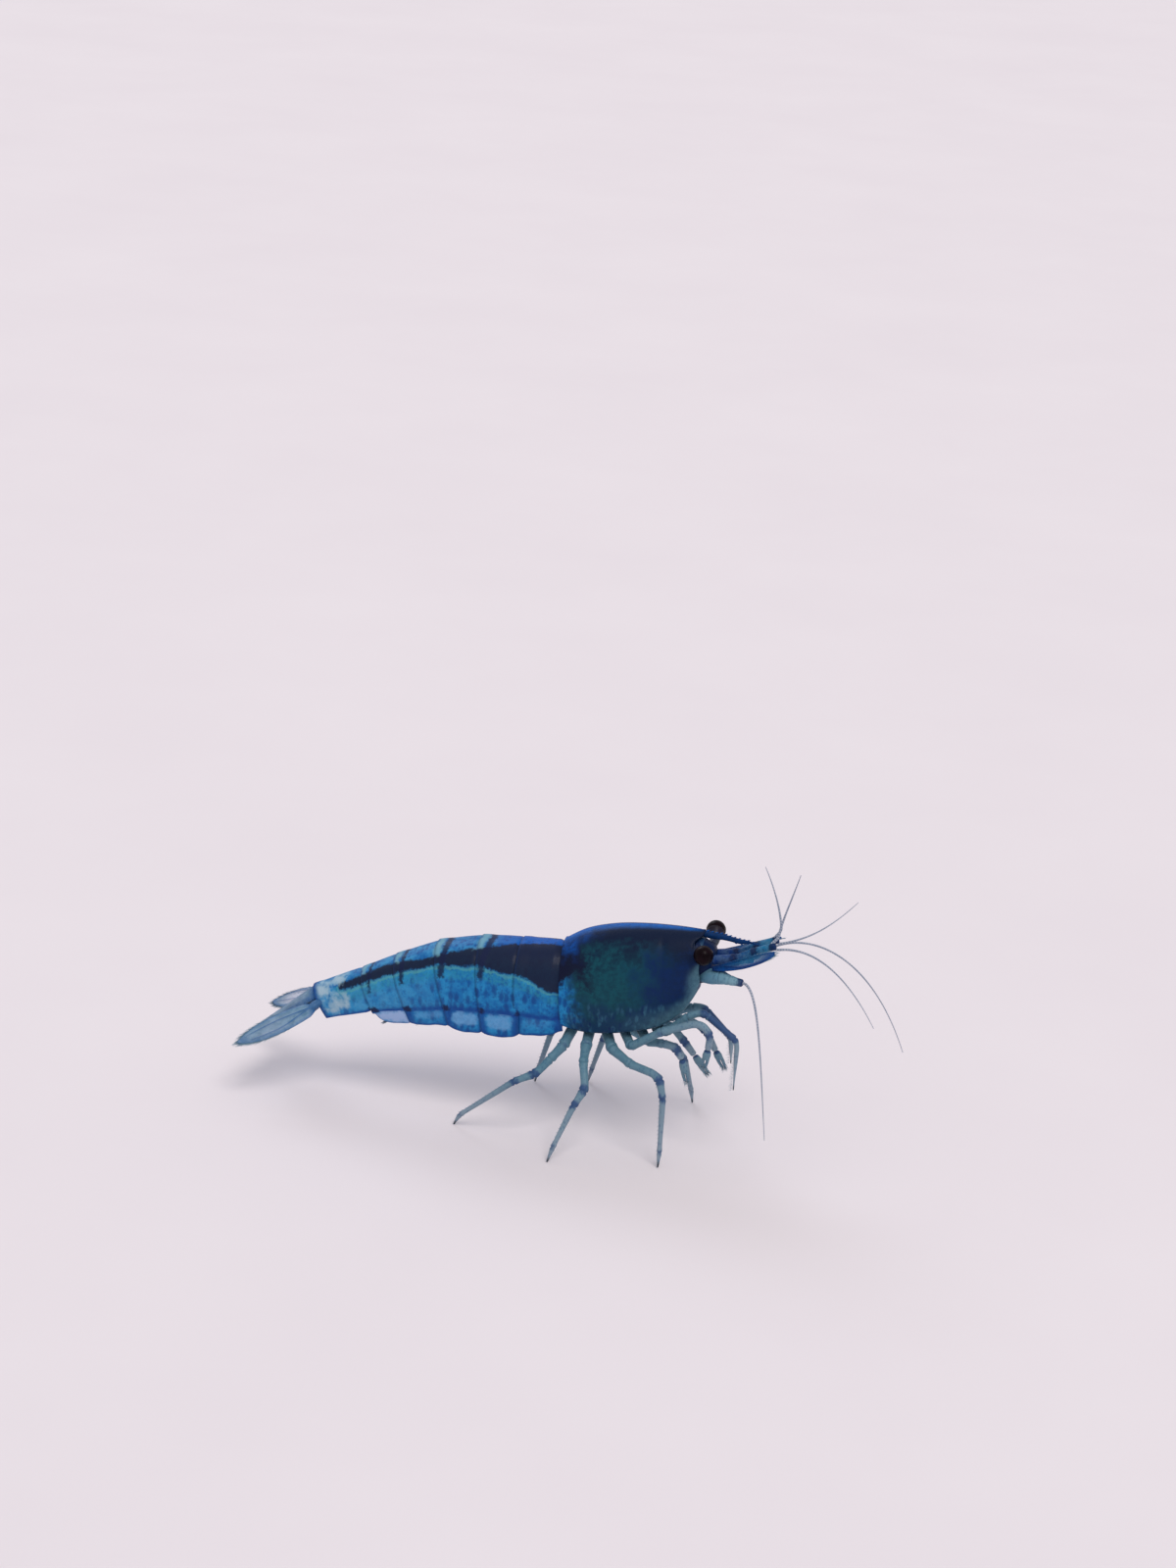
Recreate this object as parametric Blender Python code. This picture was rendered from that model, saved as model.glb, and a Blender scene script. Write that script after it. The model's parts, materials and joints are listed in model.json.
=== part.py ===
"""A blue aquarium shrimp (adult female Neocaridina) as a life-size still model, standing on six walking legs.

Lengths are in millimetres and are scaled to metres when a mesh is made. +X points to the head, +Y to the
animal's left and +Z up. The feet stand on z = 0. At the end the origin is moved below the middle of the
bounding box.
"""

import math
from dataclasses import dataclass

import bmesh
import bpy
from mathutils import Matrix, Vector
from mathutils.geometry import interpolate_bezier

MM = 0.001

# Clearance between neighbouring solids. At this size a wider seam would be as wide as a leg.
SEAM = 0.06
# Least thickness of fins, scales, legs and feelers.
THIN = 0.5
FEELER_RADIUS = THIN / 2

LEFT, RIGHT = 1, -1
SIDE_NAMES = {LEFT: "left", RIGHT: "right"}

# Carapace stations from its rear edge to the eye sockets, evenly spaced in the loft's parameter:
# top x, top z, lower margin x, lower margin z, half width.
CARAPACE_STATIONS = (
    (1.30, 9.20, 1.55, 5.40, 1.58),
    (2.30, 9.82, 2.50, 5.30, 1.76),
    (3.60, 10.22, 3.65, 5.40, 1.86),
    (5.00, 10.42, 4.90, 5.66, 1.82),
    (6.30, 10.50, 6.15, 6.06, 1.66),
    (7.20, 10.51, 7.10, 6.80, 1.42),
    (7.76, 10.49, 7.70, 7.86, 1.12),
)
# The carapace wraps round the body to this angle from its top line, then ends in the lower margin.
CARAPACE_WRAP = math.radians(130)
CARAPACE_RINGS = 15
CARAPACE_SIDES = 20

# Sections of the face from back to front: x, lowest z, highest z, half width.
HEAD_SECTIONS = ((7.84, 8.02, 9.98, 0.88), (8.08, 8.20, 9.98, 0.82), (8.30, 8.42, 9.92, 0.68))
HEAD_SIDES = 14

# The keel below the carapace, from the tail's end of its span to the jaws', as shares of the carapace.
THORAX_HALF_WIDTH = 0.76
THORAX_DEPTH = 0.66
THORAX_SPAN = (0.03, 0.70)
THORAX_RINGS = 8
THORAX_NARROWING = 0.25
THORAX_SHALLOWING = 0.35
# A hip's centre below the carapace's lower margin.
HIP_DROP = 0.37

# The block of jaws: its line down from the face, and its (across, deep) half sizes.
JAW_PATH = ((7.91, 0, 7.74), (7.64, 0, 7.10), (7.30, 0, 6.50), (6.62, 0, 5.92))
JAW_SIZES = ((0.60, 0.12), (0.66, 0.18), (0.60, 0.18), (0.42, 0.12))

# The rostrum: the top of its root, its tip, its depth at the root and its teeth.
ROSTRUM_START = Vector((7.84, 0, 10.50))
ROSTRUM_TIP = Vector((10.42, 0, 10.16))
ROSTRUM_DEPTH = 0.36
ROSTRUM_THICKNESS = 0.24
ROSTRUM_TEETH = 9
# Heights of the teeth, the notches behind them and how far each peak leans forward, as a share of its step.
UPPER_TOOTH = 0.09
LOWER_TOOTH = 0.06
NOTCH = 0.02
TOOTH_LEAN = 0.8
# How much lower the last upper tooth is than the first.
TOOTH_LOSS = 0.6
# Where the lower teeth stand, as shares of the length, their length, how far below the blade they start, and
# where the lower edge starts to rise.
LOWER_TEETH = (0.72, 0.60)
LOWER_TOOTH_LENGTH = 0.12
LOWER_EDGE = 0.05
ROSTRUM_ROOT_LENGTH = 0.55

# Abdomen: the joint line starts behind the carapace and turns down towards the tail.
ABDOMEN_START = Vector((1.37, 0.0, 7.25))
REAR_EDGE_PITCH = 3.8


@dataclass(frozen=True)
class Somite:
    """One ring of the abdomen: its length, its axis' downward slope and its side plates' reach."""

    length: float
    pitch: float
    plate_drop: float


SOMITES = (
    Somite(1.92, 0.0, 2.45),
    Somite(1.80, 3.0, 2.80),
    Somite(1.90, 10.0, 2.62),
    Somite(2.05, 18.0, 2.10),
    Somite(1.75, 21.0, 1.85),
    Somite(2.65, 23.5, 0.92),
)
# At the seven joints between carapace, rings and tail fan.
JOINT_HALF_WIDTH = (1.55, 1.65, 1.62, 1.48, 1.25, 1.00, 0.68)
JOINT_RISE = (1.80, 1.65, 1.58, 1.45, 1.17, 0.92, 0.76)
JOINT_BELLY = (1.55, 1.55, 1.55, 1.42, 1.22, 1.00, 0.78)
# Side plates: their thickness, their reach at a ring's ends as a share of the middle's, and how far out their
# lower ends hang as a share of the ring's half width.
PLATE_THICKNESS = 0.34
PLATE_END_SHARE = 0.72
PLATE_LEAN = 0.90
LEAST_HANG = 0.04

# Shares of a ring's length at which its sections are taken.
RING_SHARES = (0.0, 0.18, 0.5, 0.82, 1.0)
ARCH_POINTS = 6

TAIL_PITCH = 38.0
# The telson: length, half width and arch height at its root and tip, and how far its edges hang.
TELSON_LENGTH = 3.55
TELSON_HALF_WIDTHS = (0.52, 0.20)
TELSON_RISES = (0.44, 0.28)
TELSON_EDGE = 0.18
TELSON_LIFT = 0.28
TELSON_SHARES = (0.0, 0.12, 0.4, 0.7, 0.93, 1.0)

EYE_CENTRE = Vector((7.99, 1.58, 9.95))
EYE_RADIUS = 0.46
# Eyestalk, first antenna's stem and second antenna's stem of the left side, with their radii.
EYESTALK_PATH = ((8.08, 0.84, 9.66), (8.06, 0.97, 9.72), (8.03, 1.11, 9.79))
EYESTALK_RADII = (0.22, 0.27, 0.25)
ANTENNULE_PATH = (
    (8.38, 0.37, 9.30), (9.20, 0.37, 9.44), (9.42, 0.37, 9.52),
    (10.12, 0.37, 9.92), (10.30, 0.37, 10.02), (11.0, 0.37, 10.36),
)
ANTENNULE_RADII = (0.25, 0.25, 0.22, 0.24, 0.22, (0.25, 0.40))
ANTENNA_PATH = ((8.37, 0.52, 8.80), (8.72, 0.98, 8.77), (9.15, 1.22, 8.77), (9.80, 1.42, 8.80))
ANTENNA_RADII = (0.25, 0.26, 0.26, 0.25)
# The left antennal scale: its ends, the slope to its outer edge, and its inner, outer and root half widths.
SCALE_ROOT = (8.52, 0.98, 9.38)
SCALE_TIP = (11.28, 0.90, 10.28)
SCALE_TILT = math.radians(20)
SCALE_WIDTHS = (0.24, 0.46, 0.16)
# Half width of a tail blade at its root, and where along their length scales and tail blades are widest.
BLADE_ROOT = 0.22
LEAF_WIDEST = 0.45


def pitch_direction(degrees):
    """The way a tailward axis points when it slopes down by this angle."""
    angle = math.radians(degrees)
    return Vector((-math.cos(angle), 0.0, -math.sin(angle)))


def pitch_up(degrees):
    """The back's side of a tailward axis that slopes down by this angle."""
    angle = math.radians(degrees)
    return Vector((-math.sin(angle), 0.0, math.cos(angle)))


def smooth_value(values, share):
    """Catmull-Rom curve through evenly spaced values, at a share of its length from 0 to 1."""
    last = len(values) - 1
    place = min(max(share, 0.0), 1.0) * last
    i = min(int(place), last - 1)
    f = place - i
    a, b, c, d = (values[min(max(k, 0), last)] for k in (i - 1, i, i + 1, i + 2))
    return b + 0.5 * f * (c - a + f * (2 * a - 5 * b + 4 * c - d + f * (3 * (b - c) + d - a)))


# -------------------------------------------------------------------------------- mesh tools


def material(name, colour, roughness):
    """A plain glossy material of the sub-part's own colour."""
    made = bpy.data.materials.new(name)
    made.use_nodes = True
    shader = made.node_tree.nodes["Principled BSDF"]
    shader.inputs["Base Color"].default_value = (*colour, 1.0)
    shader.inputs["Roughness"].default_value = roughness
    shader.inputs["Metallic"].default_value = 0.0
    return made


def add_object(name, data, finish):
    """Links new mesh or curve data into the scene as a named object."""
    made = bpy.data.objects.new(name, data)
    made.data.materials.append(finish)
    bpy.context.scene.collection.objects.link(made)
    return made


def mesh_object(name, bm, finish):
    """Turns a bmesh in millimetres into a named object in metres with outward faces."""
    bmesh.ops.remove_doubles(bm, verts=bm.verts, dist=1e-4)
    bmesh.ops.recalc_face_normals(bm, faces=bm.faces)
    bmesh.ops.scale(bm, vec=(MM, MM, MM), verts=bm.verts)
    data = bpy.data.meshes.new(name)
    bm.to_mesh(data)
    bm.free()
    data.shade_smooth()
    return add_object(name, data, finish)


def mirrored(points, side):
    """Points of the left side on the given side."""
    return [Vector((x, side * y, z)) for x, y, z in points]


def loft(name, rings, finish):
    """A closed solid through rings of the same number of points, with a face across each end."""
    bm = bmesh.new()
    loops = [[bm.verts.new(point) for point in ring] for ring in rings]
    count = len(rings[0])
    for near, far in zip(loops, loops[1:]):
        for k in range(count):
            after = (k + 1) % count
            bm.faces.new((near[k], near[after], far[after], far[k]))
    bm.faces.new(list(reversed(loops[0])))
    bm.faces.new(loops[-1])
    return mesh_object(name, bm, finish)


def limb(name, path, radii, finish, sides=8, start_way=None, end_way=None):
    """A jointed tube along a path, mitred at its bends.

    radii holds one number, or one (across, deep) pair, for each point. start_way and end_way turn the end
    faces: against the body for a hip, level for a foot.
    """
    points = [Vector(p) for p in path]
    steps = [(b - a).normalized() for a, b in zip(points, points[1:])]
    headings = [steps[0]] + [(a + b).normalized() for a, b in zip(steps, steps[1:])] + [steps[-1]]
    headings[0] = Vector(start_way) if start_way else headings[0]
    headings[-1] = Vector(end_way) if end_way else headings[-1]
    guide = Vector((0, 1, 0)) if abs(headings[0].y) < 0.9 else Vector((1, 0, 0))
    across = guide - headings[0] * guide.dot(headings[0])
    rings = []
    for i, (centre, heading, radius) in enumerate(zip(points, headings, radii)):
        wide, deep = radius if isinstance(radius, tuple) else (radius, radius)
        if i:
            across = headings[i - 1].rotation_difference(heading) @ across
        across.normalize()
        down = heading.cross(across)
        rings.append([
            centre + across * wide * math.cos(a) + down * deep * math.sin(a)
            for a in (2 * math.pi * k / sides for k in range(sides))
        ])
    return loft(name, rings, finish)


def joint_union(body, extra):
    """Joins a helper solid to a body, and keeps the helper out of the model."""
    extra.hide_render = True
    extra.display_type = "WIRE"
    union = body.modifiers.new("join_" + extra.name, "BOOLEAN")
    union.operation = "UNION"
    union.solver = "EXACT"
    union.object = extra
    return body


def feeler(name, start, first_handle, second_handle, end, finish, points=13):
    """A long thin flagellum: a bevelled curve on a cubic arc, closed at both ends."""
    places = interpolate_bezier(*(Vector(p) for p in (start, first_handle, second_handle, end)), points)
    data = bpy.data.curves.new(name, "CURVE")
    data.dimensions = "3D"
    data.bevel_depth = FEELER_RADIUS * MM
    data.bevel_resolution = 2
    data.use_fill_caps = True
    line = data.splines.new("POLY")
    line.points.add(len(places) - 1)
    for point, place in zip(line.points, places):
        point.co = (*(place * MM), 1.0)
    return add_object(name, data, finish)


def plate(name, origin, along, across, outline, thickness, finish):
    """A flat plate, centred on an outline of (distance along, distance across) pairs."""
    normal = along.cross(across).normalized()
    corners = [origin + along * s + across * w for s, w in outline]
    faces = [[c + normal * side * thickness / 2 for c in corners] for side in (-1, 1)]
    return loft(name, faces, finish)


def leaf_outline(length, inner, outer, root, steps=7):
    """Outline of a leaf-shaped blade that starts at its root's half width and rounds off at its tip."""
    def width(share, most):
        grown = root + (most - root) * math.sin(min(share / LEAF_WIDEST, 1.0) * math.pi / 2)
        closing = max(0.0, (share - LEAF_WIDEST) / (1 - LEAF_WIDEST))
        return grown * math.sqrt(max(0.0, 1.0 - closing ** 2.2))

    shares = [k / steps for k in range(steps)]
    out = [(share * length, width(share, outer)) for share in shares]
    back = [(share * length, -width(share, inner)) for share in reversed(shares)]
    return out + [(length, 0.0)] + back


# -------------------------------------------------------------------------------- body


def carapace_station(share):
    """Top point, lower-margin point and half width of the carapace at a share of its length from the rear."""
    top_x, top_z, low_x, low_z, half_width = (
        smooth_value([row[k] for row in CARAPACE_STATIONS], share) for k in range(5)
    )
    return Vector((top_x, 0, top_z)), Vector((low_x, 0, low_z)), half_width


def carapace(finish):
    """The shield over head and thorax, closed below by the floor that the thorax hangs from."""
    rings = []
    for i in range(CARAPACE_RINGS):
        top, low, half_width = carapace_station(i / (CARAPACE_RINGS - 1))
        radius = (top - low) / (1 - math.cos(CARAPACE_WRAP))
        centre = top - radius
        angles = (
            CARAPACE_WRAP * (2 * k / (CARAPACE_SIDES - 1) - 1) for k in range(CARAPACE_SIDES)
        )
        rings.append([
            centre + radius * math.cos(a) + Vector((0, half_width * math.sin(a), 0)) for a in angles
        ])
    return loft("carapace", rings, finish)


def thorax_section(share):
    """Lower-margin point, the way down from it, depth and half width of the keel at this share."""
    top, low, _ = carapace_station(share)
    depth = THORAX_DEPTH * (1 - THORAX_SHALLOWING * share)
    half_width = THORAX_HALF_WIDTH * (1 - THORAX_NARROWING * share ** 3)
    return low, (low - top).normalized(), depth, half_width


def thorax(finish):
    """The underside that the legs are set in, a rounded keel below the carapace."""
    rings = []
    first, last = THORAX_SPAN
    for i in range(THORAX_RINGS):
        low, down, depth, wide = thorax_section(first + (last - first) * i / (THORAX_RINGS - 1))
        section = ((SEAM, 1.0), (0.75 * depth, 1.0), (depth, 0.6))
        half = [low + down * d + Vector((0, wide * w, 0)) for d, w in section]
        rings.append(half + [Vector((p.x, -p.y, p.z)) for p in reversed(half)])
    return loft("thorax", rings, finish)


def hip(x, side):
    """Where a limb is set against the side of the thorax at this length along the body."""
    low, high = THORAX_SPAN
    for _ in range(30):
        share = (low + high) / 2
        low, high = (share, high) if thorax_section(share)[0].x < x else (low, share)
    margin, _, _, wide = thorax_section(share)
    return Vector((x, side * (wide + SEAM), margin.z - HIP_DROP))


def head(finish):
    """The face between the eyes, in front of the carapace, that eyes and feelers grow from."""
    rings = []
    for x, low, high, half_width in HEAD_SECTIONS:
        middle, half = (low + high) / 2, (high - low) / 2
        rings.append([
            Vector((x, half_width * math.sin(a), middle + half * math.cos(a)))
            for a in (2 * math.pi * k / HEAD_SIDES for k in range(HEAD_SIDES))
        ])
    return loft("head", rings, finish)


def mouthparts(finish):
    """The block of jaws and inner maxillipeds below the face."""
    return limb("mouthparts", JAW_PATH, JAW_SIZES, finish, sides=10)


def rostrum(finish):
    """The thin blade between the eyes, with a row of teeth along its upper edge and a few below the tip."""
    start, tip = ROSTRUM_START, ROSTRUM_TIP
    outline = []
    for i in range(ROSTRUM_TEETH):
        share = i / ROSTRUM_TEETH
        root = start.lerp(tip, share)
        peak = start.lerp(tip, share + TOOTH_LEAN / ROSTRUM_TEETH)
        height = UPPER_TOOTH * (1 - TOOTH_LOSS * share)
        outline += [(root.x, root.z - NOTCH), (peak.x, peak.z + height)]
    outline.append((tip.x, tip.z))
    for share in LOWER_TEETH:
        edge = start.lerp(tip, share)
        low = edge.z - ROSTRUM_DEPTH * (1 - share) - LOWER_EDGE
        outline += [(edge.x + LOWER_TOOTH_LENGTH, low - LOWER_TOOTH), (edge.x, low + NOTCH)]
    outline.append((start.x + ROSTRUM_ROOT_LENGTH, start.z - ROSTRUM_DEPTH))
    outline.append((start.x, start.z - ROSTRUM_DEPTH))
    forward, upward = Vector((1, 0, 0)), Vector((0, 0, 1))
    return plate("rostrum", Vector(), forward, upward, outline, ROSTRUM_THICKNESS, finish)


def somite_frames():
    """Joint places and the pitch of the parting plane at each joint."""
    places, pitches = [ABDOMEN_START], [REAR_EDGE_PITCH]
    for i, somite in enumerate(SOMITES):
        places.append(places[-1] + pitch_direction(somite.pitch) * somite.length)
        after = SOMITES[i + 1].pitch if i + 1 < len(SOMITES) else TAIL_PITCH
        pitches.append((somite.pitch + after) / 2)
    return places, pitches


def somite_section(centre, up, half_width, rise, belly, drop):
    """Ring of one abdominal section: a back arch, side plates and the hollow between them."""
    arch = [
        (half_width * math.sin(a), rise * math.cos(a))
        for a in (math.pi / 2 * k / (ARCH_POINTS - 1) for k in range(ARCH_POINTS))
    ]
    inner = max(half_width - PLATE_THICKNESS, 0.3)
    side = [
        (half_width * 0.99, -0.55 * drop),
        (half_width * PLATE_LEAN, -0.93 * drop),
        (half_width * PLATE_LEAN - PLATE_THICKNESS / 2, -drop),
        (inner * 0.92, -belly - max(drop - belly, LEAST_HANG / 2) / 2),
        (inner * 0.80, -belly),
    ]
    half = arch + side
    both = half + [(-y, z) for y, z in reversed(half[1:])]
    return [centre + Vector((0, y, 0)) + up * z for y, z in both]


def somite_place(number, share):
    """Centre, upward direction, half width, rise and belly depth of a ring at a share of its length."""
    places, pitches = somite_frames()
    i = number - 1
    gap = SEAM / 2 * (1 - 2 * share)
    centre = places[i].lerp(places[i + 1], share) + pitch_direction(SOMITES[i].pitch) * gap
    up = pitch_up(pitches[i] + (pitches[i + 1] - pitches[i]) * share)
    sizes = [
        line[i] + (line[i + 1] - line[i]) * share
        for line in (JOINT_HALF_WIDTH, JOINT_RISE, JOINT_BELLY)
    ]
    return centre, up, *sizes


def abdomen_ring(number, finish):
    """One of the six rings of the abdomen, cut off square to the joint line at both ends."""
    rings = []
    for share in RING_SHARES:
        centre, up, half_width, rise, belly = somite_place(number, share)
        rounding = 1 - (1 - PLATE_END_SHARE) * abs(2 * share - 1) ** 3
        drop = belly + max(SOMITES[number - 1].plate_drop - belly, LEAST_HANG) * rounding
        rings.append(somite_section(centre, up, half_width, rise, belly, drop))
    return loft(f"abdomen_{number}", rings, finish)


def telson(finish):
    """The pointed middle blade of the tail fan, arched across."""
    along, up = pitch_direction(TAIL_PITCH), pitch_up(TAIL_PITCH)
    start = somite_frames()[0][-1] + along * SEAM + up * TELSON_LIFT
    rings = []
    for share in TELSON_SHARES:
        half_width, rise = (
            root + (tip - root) * share for root, tip in (TELSON_HALF_WIDTHS, TELSON_RISES)
        )
        centre = start + along * TELSON_LENGTH * share
        section = [(half_width, 0.0), (half_width * 0.75, 0.65 * rise), (0.0, rise)]
        section += [(-y, z) for y, z in reversed(section[:2])]
        section += [(-half_width * 0.8, -TELSON_EDGE), (half_width * 0.8, -TELSON_EDGE)]
        rings.append([centre + Vector((0, y, 0)) + up * z for y, z in section])
    return loft("telson", rings, finish)


@dataclass(frozen=True)
class TailBlade:
    """One blade of a uropod: its root behind the tail's end, its length, its inner and outer half widths."""

    name: str
    back: float
    aside: float
    below: float
    length: float
    inner: float
    outer: float


@dataclass(frozen=True)
class BladePose:
    """How a blade is held, in degrees: spread out, lifted, and turned outer edge down."""

    spread: float
    lift: float
    drop: float


# The fan leans to the right, so the right blades hang steeper than the left ones.
ENDOPOD = TailBlade("uropod_endopod", 0.24, 0.50, 0.36, 3.50, 0.32, 0.33)
EXOPOD = TailBlade("uropod_exopod", 0.34, 1.12, 0.02, 3.85, 0.36, 0.48)
FAN_POSES = (
    (ENDOPOD, LEFT, BladePose(8.0, 0.0, -12.0)),
    (EXOPOD, LEFT, BladePose(26.0, 9.0, -20.0)),
    (ENDOPOD, RIGHT, BladePose(9.0, 6.0, 22.0)),
    (EXOPOD, RIGHT, BladePose(25.5, 11.5, 36.0)),
)


def uropod_blade(blade, side, pose, finish):
    """A flat blade of the tail fan, spread out to its side."""
    base = somite_frames()[0][-1]
    along, width = pitch_direction(TAIL_PITCH - pose.lift), Vector((0, side, 0))
    spread = math.radians(pose.spread)
    heading = along * math.cos(spread) + width * math.sin(spread)
    across = width * math.cos(spread) - along * math.sin(spread)
    across = Matrix.Rotation(math.radians(pose.drop) * side, 3, heading) @ across
    origin = (
        base + pitch_direction(TAIL_PITCH) * blade.back + width * blade.aside
        - pitch_up(TAIL_PITCH) * blade.below
    )
    outline = leaf_outline(blade.length, blade.inner, blade.outer, BLADE_ROOT)
    return plate(f"{blade.name}_{SIDE_NAMES[side]}", origin, heading, across, outline, THIN, finish)


# -------------------------------------------------------------------------------- eyes and feelers


def eye(side, finish):
    """The round dark cornea."""
    bm = bmesh.new()
    bmesh.ops.create_icosphere(bm, subdivisions=2, radius=EYE_RADIUS)
    bmesh.ops.translate(bm, vec=mirrored([EYE_CENTRE], side)[0], verts=bm.verts)
    return mesh_object(f"eye_{SIDE_NAMES[side]}", bm, finish)


def eyestalk(side, finish):
    """The short stalk between the face and the cornea."""
    return limb(f"eyestalk_{SIDE_NAMES[side]}", mirrored(EYESTALK_PATH, side), EYESTALK_RADII, finish)


def antennule_peduncle(side, finish):
    """The three-jointed stem of a first antenna, beside the rostrum."""
    name = f"antennule_peduncle_{SIDE_NAMES[side]}"
    return limb(name, mirrored(ANTENNULE_PATH, side), ANTENNULE_RADII, finish)


def antenna_peduncle(side, finish):
    """The stout stem of a second antenna, below the eye."""
    name = f"antenna_peduncle_{SIDE_NAMES[side]}"
    return limb(name, mirrored(ANTENNA_PATH, side), ANTENNA_RADII, finish, start_way=(1, 0, 0))


def antennal_scale(side, finish):
    """The broad blade beside each first antenna, sloping down to its outer edge."""
    root, tip = mirrored((SCALE_ROOT, SCALE_TIP), side)
    along = (tip - root).normalized()
    width = Vector((0, side * math.cos(SCALE_TILT), -math.sin(SCALE_TILT)))
    across = (width - along * width.dot(along)).normalized()
    outline = leaf_outline((tip - root).length, *SCALE_WIDTHS)
    return plate(f"antennal_scale_{SIDE_NAMES[side]}", root, along, across, outline, THIN, finish)


# Cubic arcs of the six flagella: start, two handles and end.
FEELERS = {
    "antenna_flagellum_right": (
        (9.98, -1.50, 8.80), (10.75, -2.3, 8.75), (11.05, -2.55, 5.8), (11.5, -2.3, 1.6),
    ),
    "antenna_flagellum_left": (
        (10.02, 1.48, 8.90), (11.3, 1.5, 10.6), (14.8, 2.6, 10.2), (16.8, 4.1, 4.0),
    ),
    "antennule_outer_flagellum_right": (
        (11.18, -0.42, 10.90), (11.25, -0.45, 11.6), (11.6, -0.5, 12.6), (12.0, -0.8, 14.1),
    ),
    "antennule_inner_flagellum_right": (
        (11.24, -0.40, 10.22), (13.0, -0.6, 10.7), (14.6, -0.9, 9.4), (15.9, -1.3, 7.4),
    ),
    "antennule_outer_flagellum_left": (
        (11.15, 0.42, 10.91), (11.05, 0.6, 11.6), (10.7, 0.9, 12.5), (10.1, 1.2, 13.5),
    ),
    "antennule_inner_flagellum_left": (
        (11.24, 0.40, 10.22), (12.3, 0.55, 10.5), (13.2, 1.0, 10.9), (14.4, 1.6, 12.2),
    ),
}


# -------------------------------------------------------------------------------- limbs

# Walking legs: the hip's x, the bends, and the foot, whose last point lies on the floor.
WALKING_LEGS = {
    "walking_leg_3_right": (
        3.60, (4.05, -1.50, 4.72), (5.10, -2.25, 4.42), (6.30, -2.86, 4.40),
        (6.62, -3.00, 4.18), (6.84, -3.15, 3.35), (6.88, -3.33, 0.75), (6.86, -3.40, 0.0),
    ),
    "walking_leg_4_right": (
        2.78, (2.86, -1.60, 4.72), (2.95, -2.50, 4.28), (3.22, -3.18, 3.52),
        (3.20, -3.34, 3.28), (2.86, -3.80, 2.66), (2.12, -4.35, 0.72), (1.92, -4.48, 0.0),
    ),
    "walking_leg_5_right": (
        1.98, (1.76, -1.40, 4.50), (1.25, -1.75, 3.88), (0.82, -2.06, 3.38),
        (0.60, -2.16, 3.20), (-0.28, -2.40, 2.80), (-2.80, -2.12, 0.60), (-3.10, -2.05, 0.0),
    ),
    "walking_leg_3_left": (
        3.60, (4.05, 1.45, 4.62), (5.10, 1.95, 3.80), (6.05, 2.65, 3.36),
        (6.30, 2.85, 3.20), (6.70, 3.20, 2.50), (7.02, 3.72, 0.72), (7.10, 3.85, 0.0),
    ),
    "walking_leg_4_left": (
        2.78, (2.84, 1.60, 4.74), (2.92, 2.45, 4.40), (3.02, 3.15, 3.66),
        (2.98, 3.32, 3.42), (2.62, 3.85, 2.72), (2.02, 4.42, 0.72), (1.86, 4.54, 0.0),
    ),
    "walking_leg_5_left": (
        1.98, (1.74, 1.45, 4.62), (1.30, 2.05, 4.26), (0.86, 2.62, 3.92),
        (0.70, 2.78, 3.70), (0.22, 3.20, 2.96), (-0.42, 3.62, 0.72), (-0.56, 3.70, 0.0),
    ),
}
WALKING_RADII = (0.28, 0.29, 0.29, 0.30, 0.31, 0.28, 0.25, 0.25)

# Chelipeds: the hip's x, bends of the arm, wrist and claw tip.
CHELIPEDS = {
    "cheliped_1_right": (
        5.20, (5.65, -1.25, 5.20), (6.45, -1.55, 5.35), (6.90, -1.65, 5.35), (7.10, -1.65, 5.15),
        (7.35, -1.65, 4.75), (7.64, -1.50, 3.52),
    ),
    "cheliped_2_right": (
        4.42, (4.95, -1.62, 5.02), (6.43, -2.10, 6.20), (7.89, -2.20, 6.84), (8.33, -2.20, 6.80),
        (8.66, -2.20, 6.36), (8.58, -2.10, 5.60), (8.40, -1.90, 4.55),
    ),
    "cheliped_1_left": (
        5.20, (5.75, 1.20, 5.15), (6.35, 1.25, 4.95), (6.96, 1.25, 4.29), (7.47, 1.15, 3.74),
        (8.20, 0.95, 2.95),
    ),
    "cheliped_2_left": (
        4.42, (4.95, 1.60, 4.92), (6.30, 1.95, 5.20), (7.29, 1.75, 5.12), (7.87, 1.65, 4.80),
        (8.38, 1.60, 3.90), (8.85, 1.70, 3.00),
    ),
}
CLAW_LENGTH = 0.62
# Radii at the hip and the first bend, along the arm, and before and at the palm's end.
ARM_RADII = (0.28, 0.28, 0.27, 0.26, 0.28)
FINGER_RADII = (0.19, 0.17, 0.10)
# How far the two fingers stand from the claw's middle line at their roots, bows and tips.
FINGER_SPREAD = (0.10, 0.09, 0.17)
# How far the fingers reach back into the palm.
FINGER_ROOT = 0.30

MAXILLIPEDS = {
    RIGHT: (
        5.86, (6.50, -1.26, 5.84), (7.48, -1.52, 6.84), (7.96, -1.50, 7.10), (8.31, -1.58, 7.08),
        (9.72, -1.70, 6.11), (9.84, -1.70, 5.80), (9.80, -1.60, 3.54),
    ),
    LEFT: (
        5.86, (6.50, 1.22, 5.84), (7.25, 1.25, 6.12), (7.60, 1.28, 6.16), (7.86, 1.30, 6.02),
        (9.02, 1.30, 4.90), (9.12, 1.27, 4.62), (9.20, 1.10, 3.60),
    ),
}
MAXILLIPED_RADII = (0.26, 0.27, 0.26, 0.27, 0.27, 0.25, 0.26, 0.25)

# Swimmerets: (across, deep) half sizes at the root, knee, ankle and tip, and how far each bend lies below the
# belly and behind the root.
SWIMMERET_SIZES = ((0.25, 0.30), (0.25, 0.32), (0.25, 0.27), (0.25, 0.14))
SWIMMERET_BENDS = ((0.62, 0.16), (0.98, 0.62), (1.18, 1.62))
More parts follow.
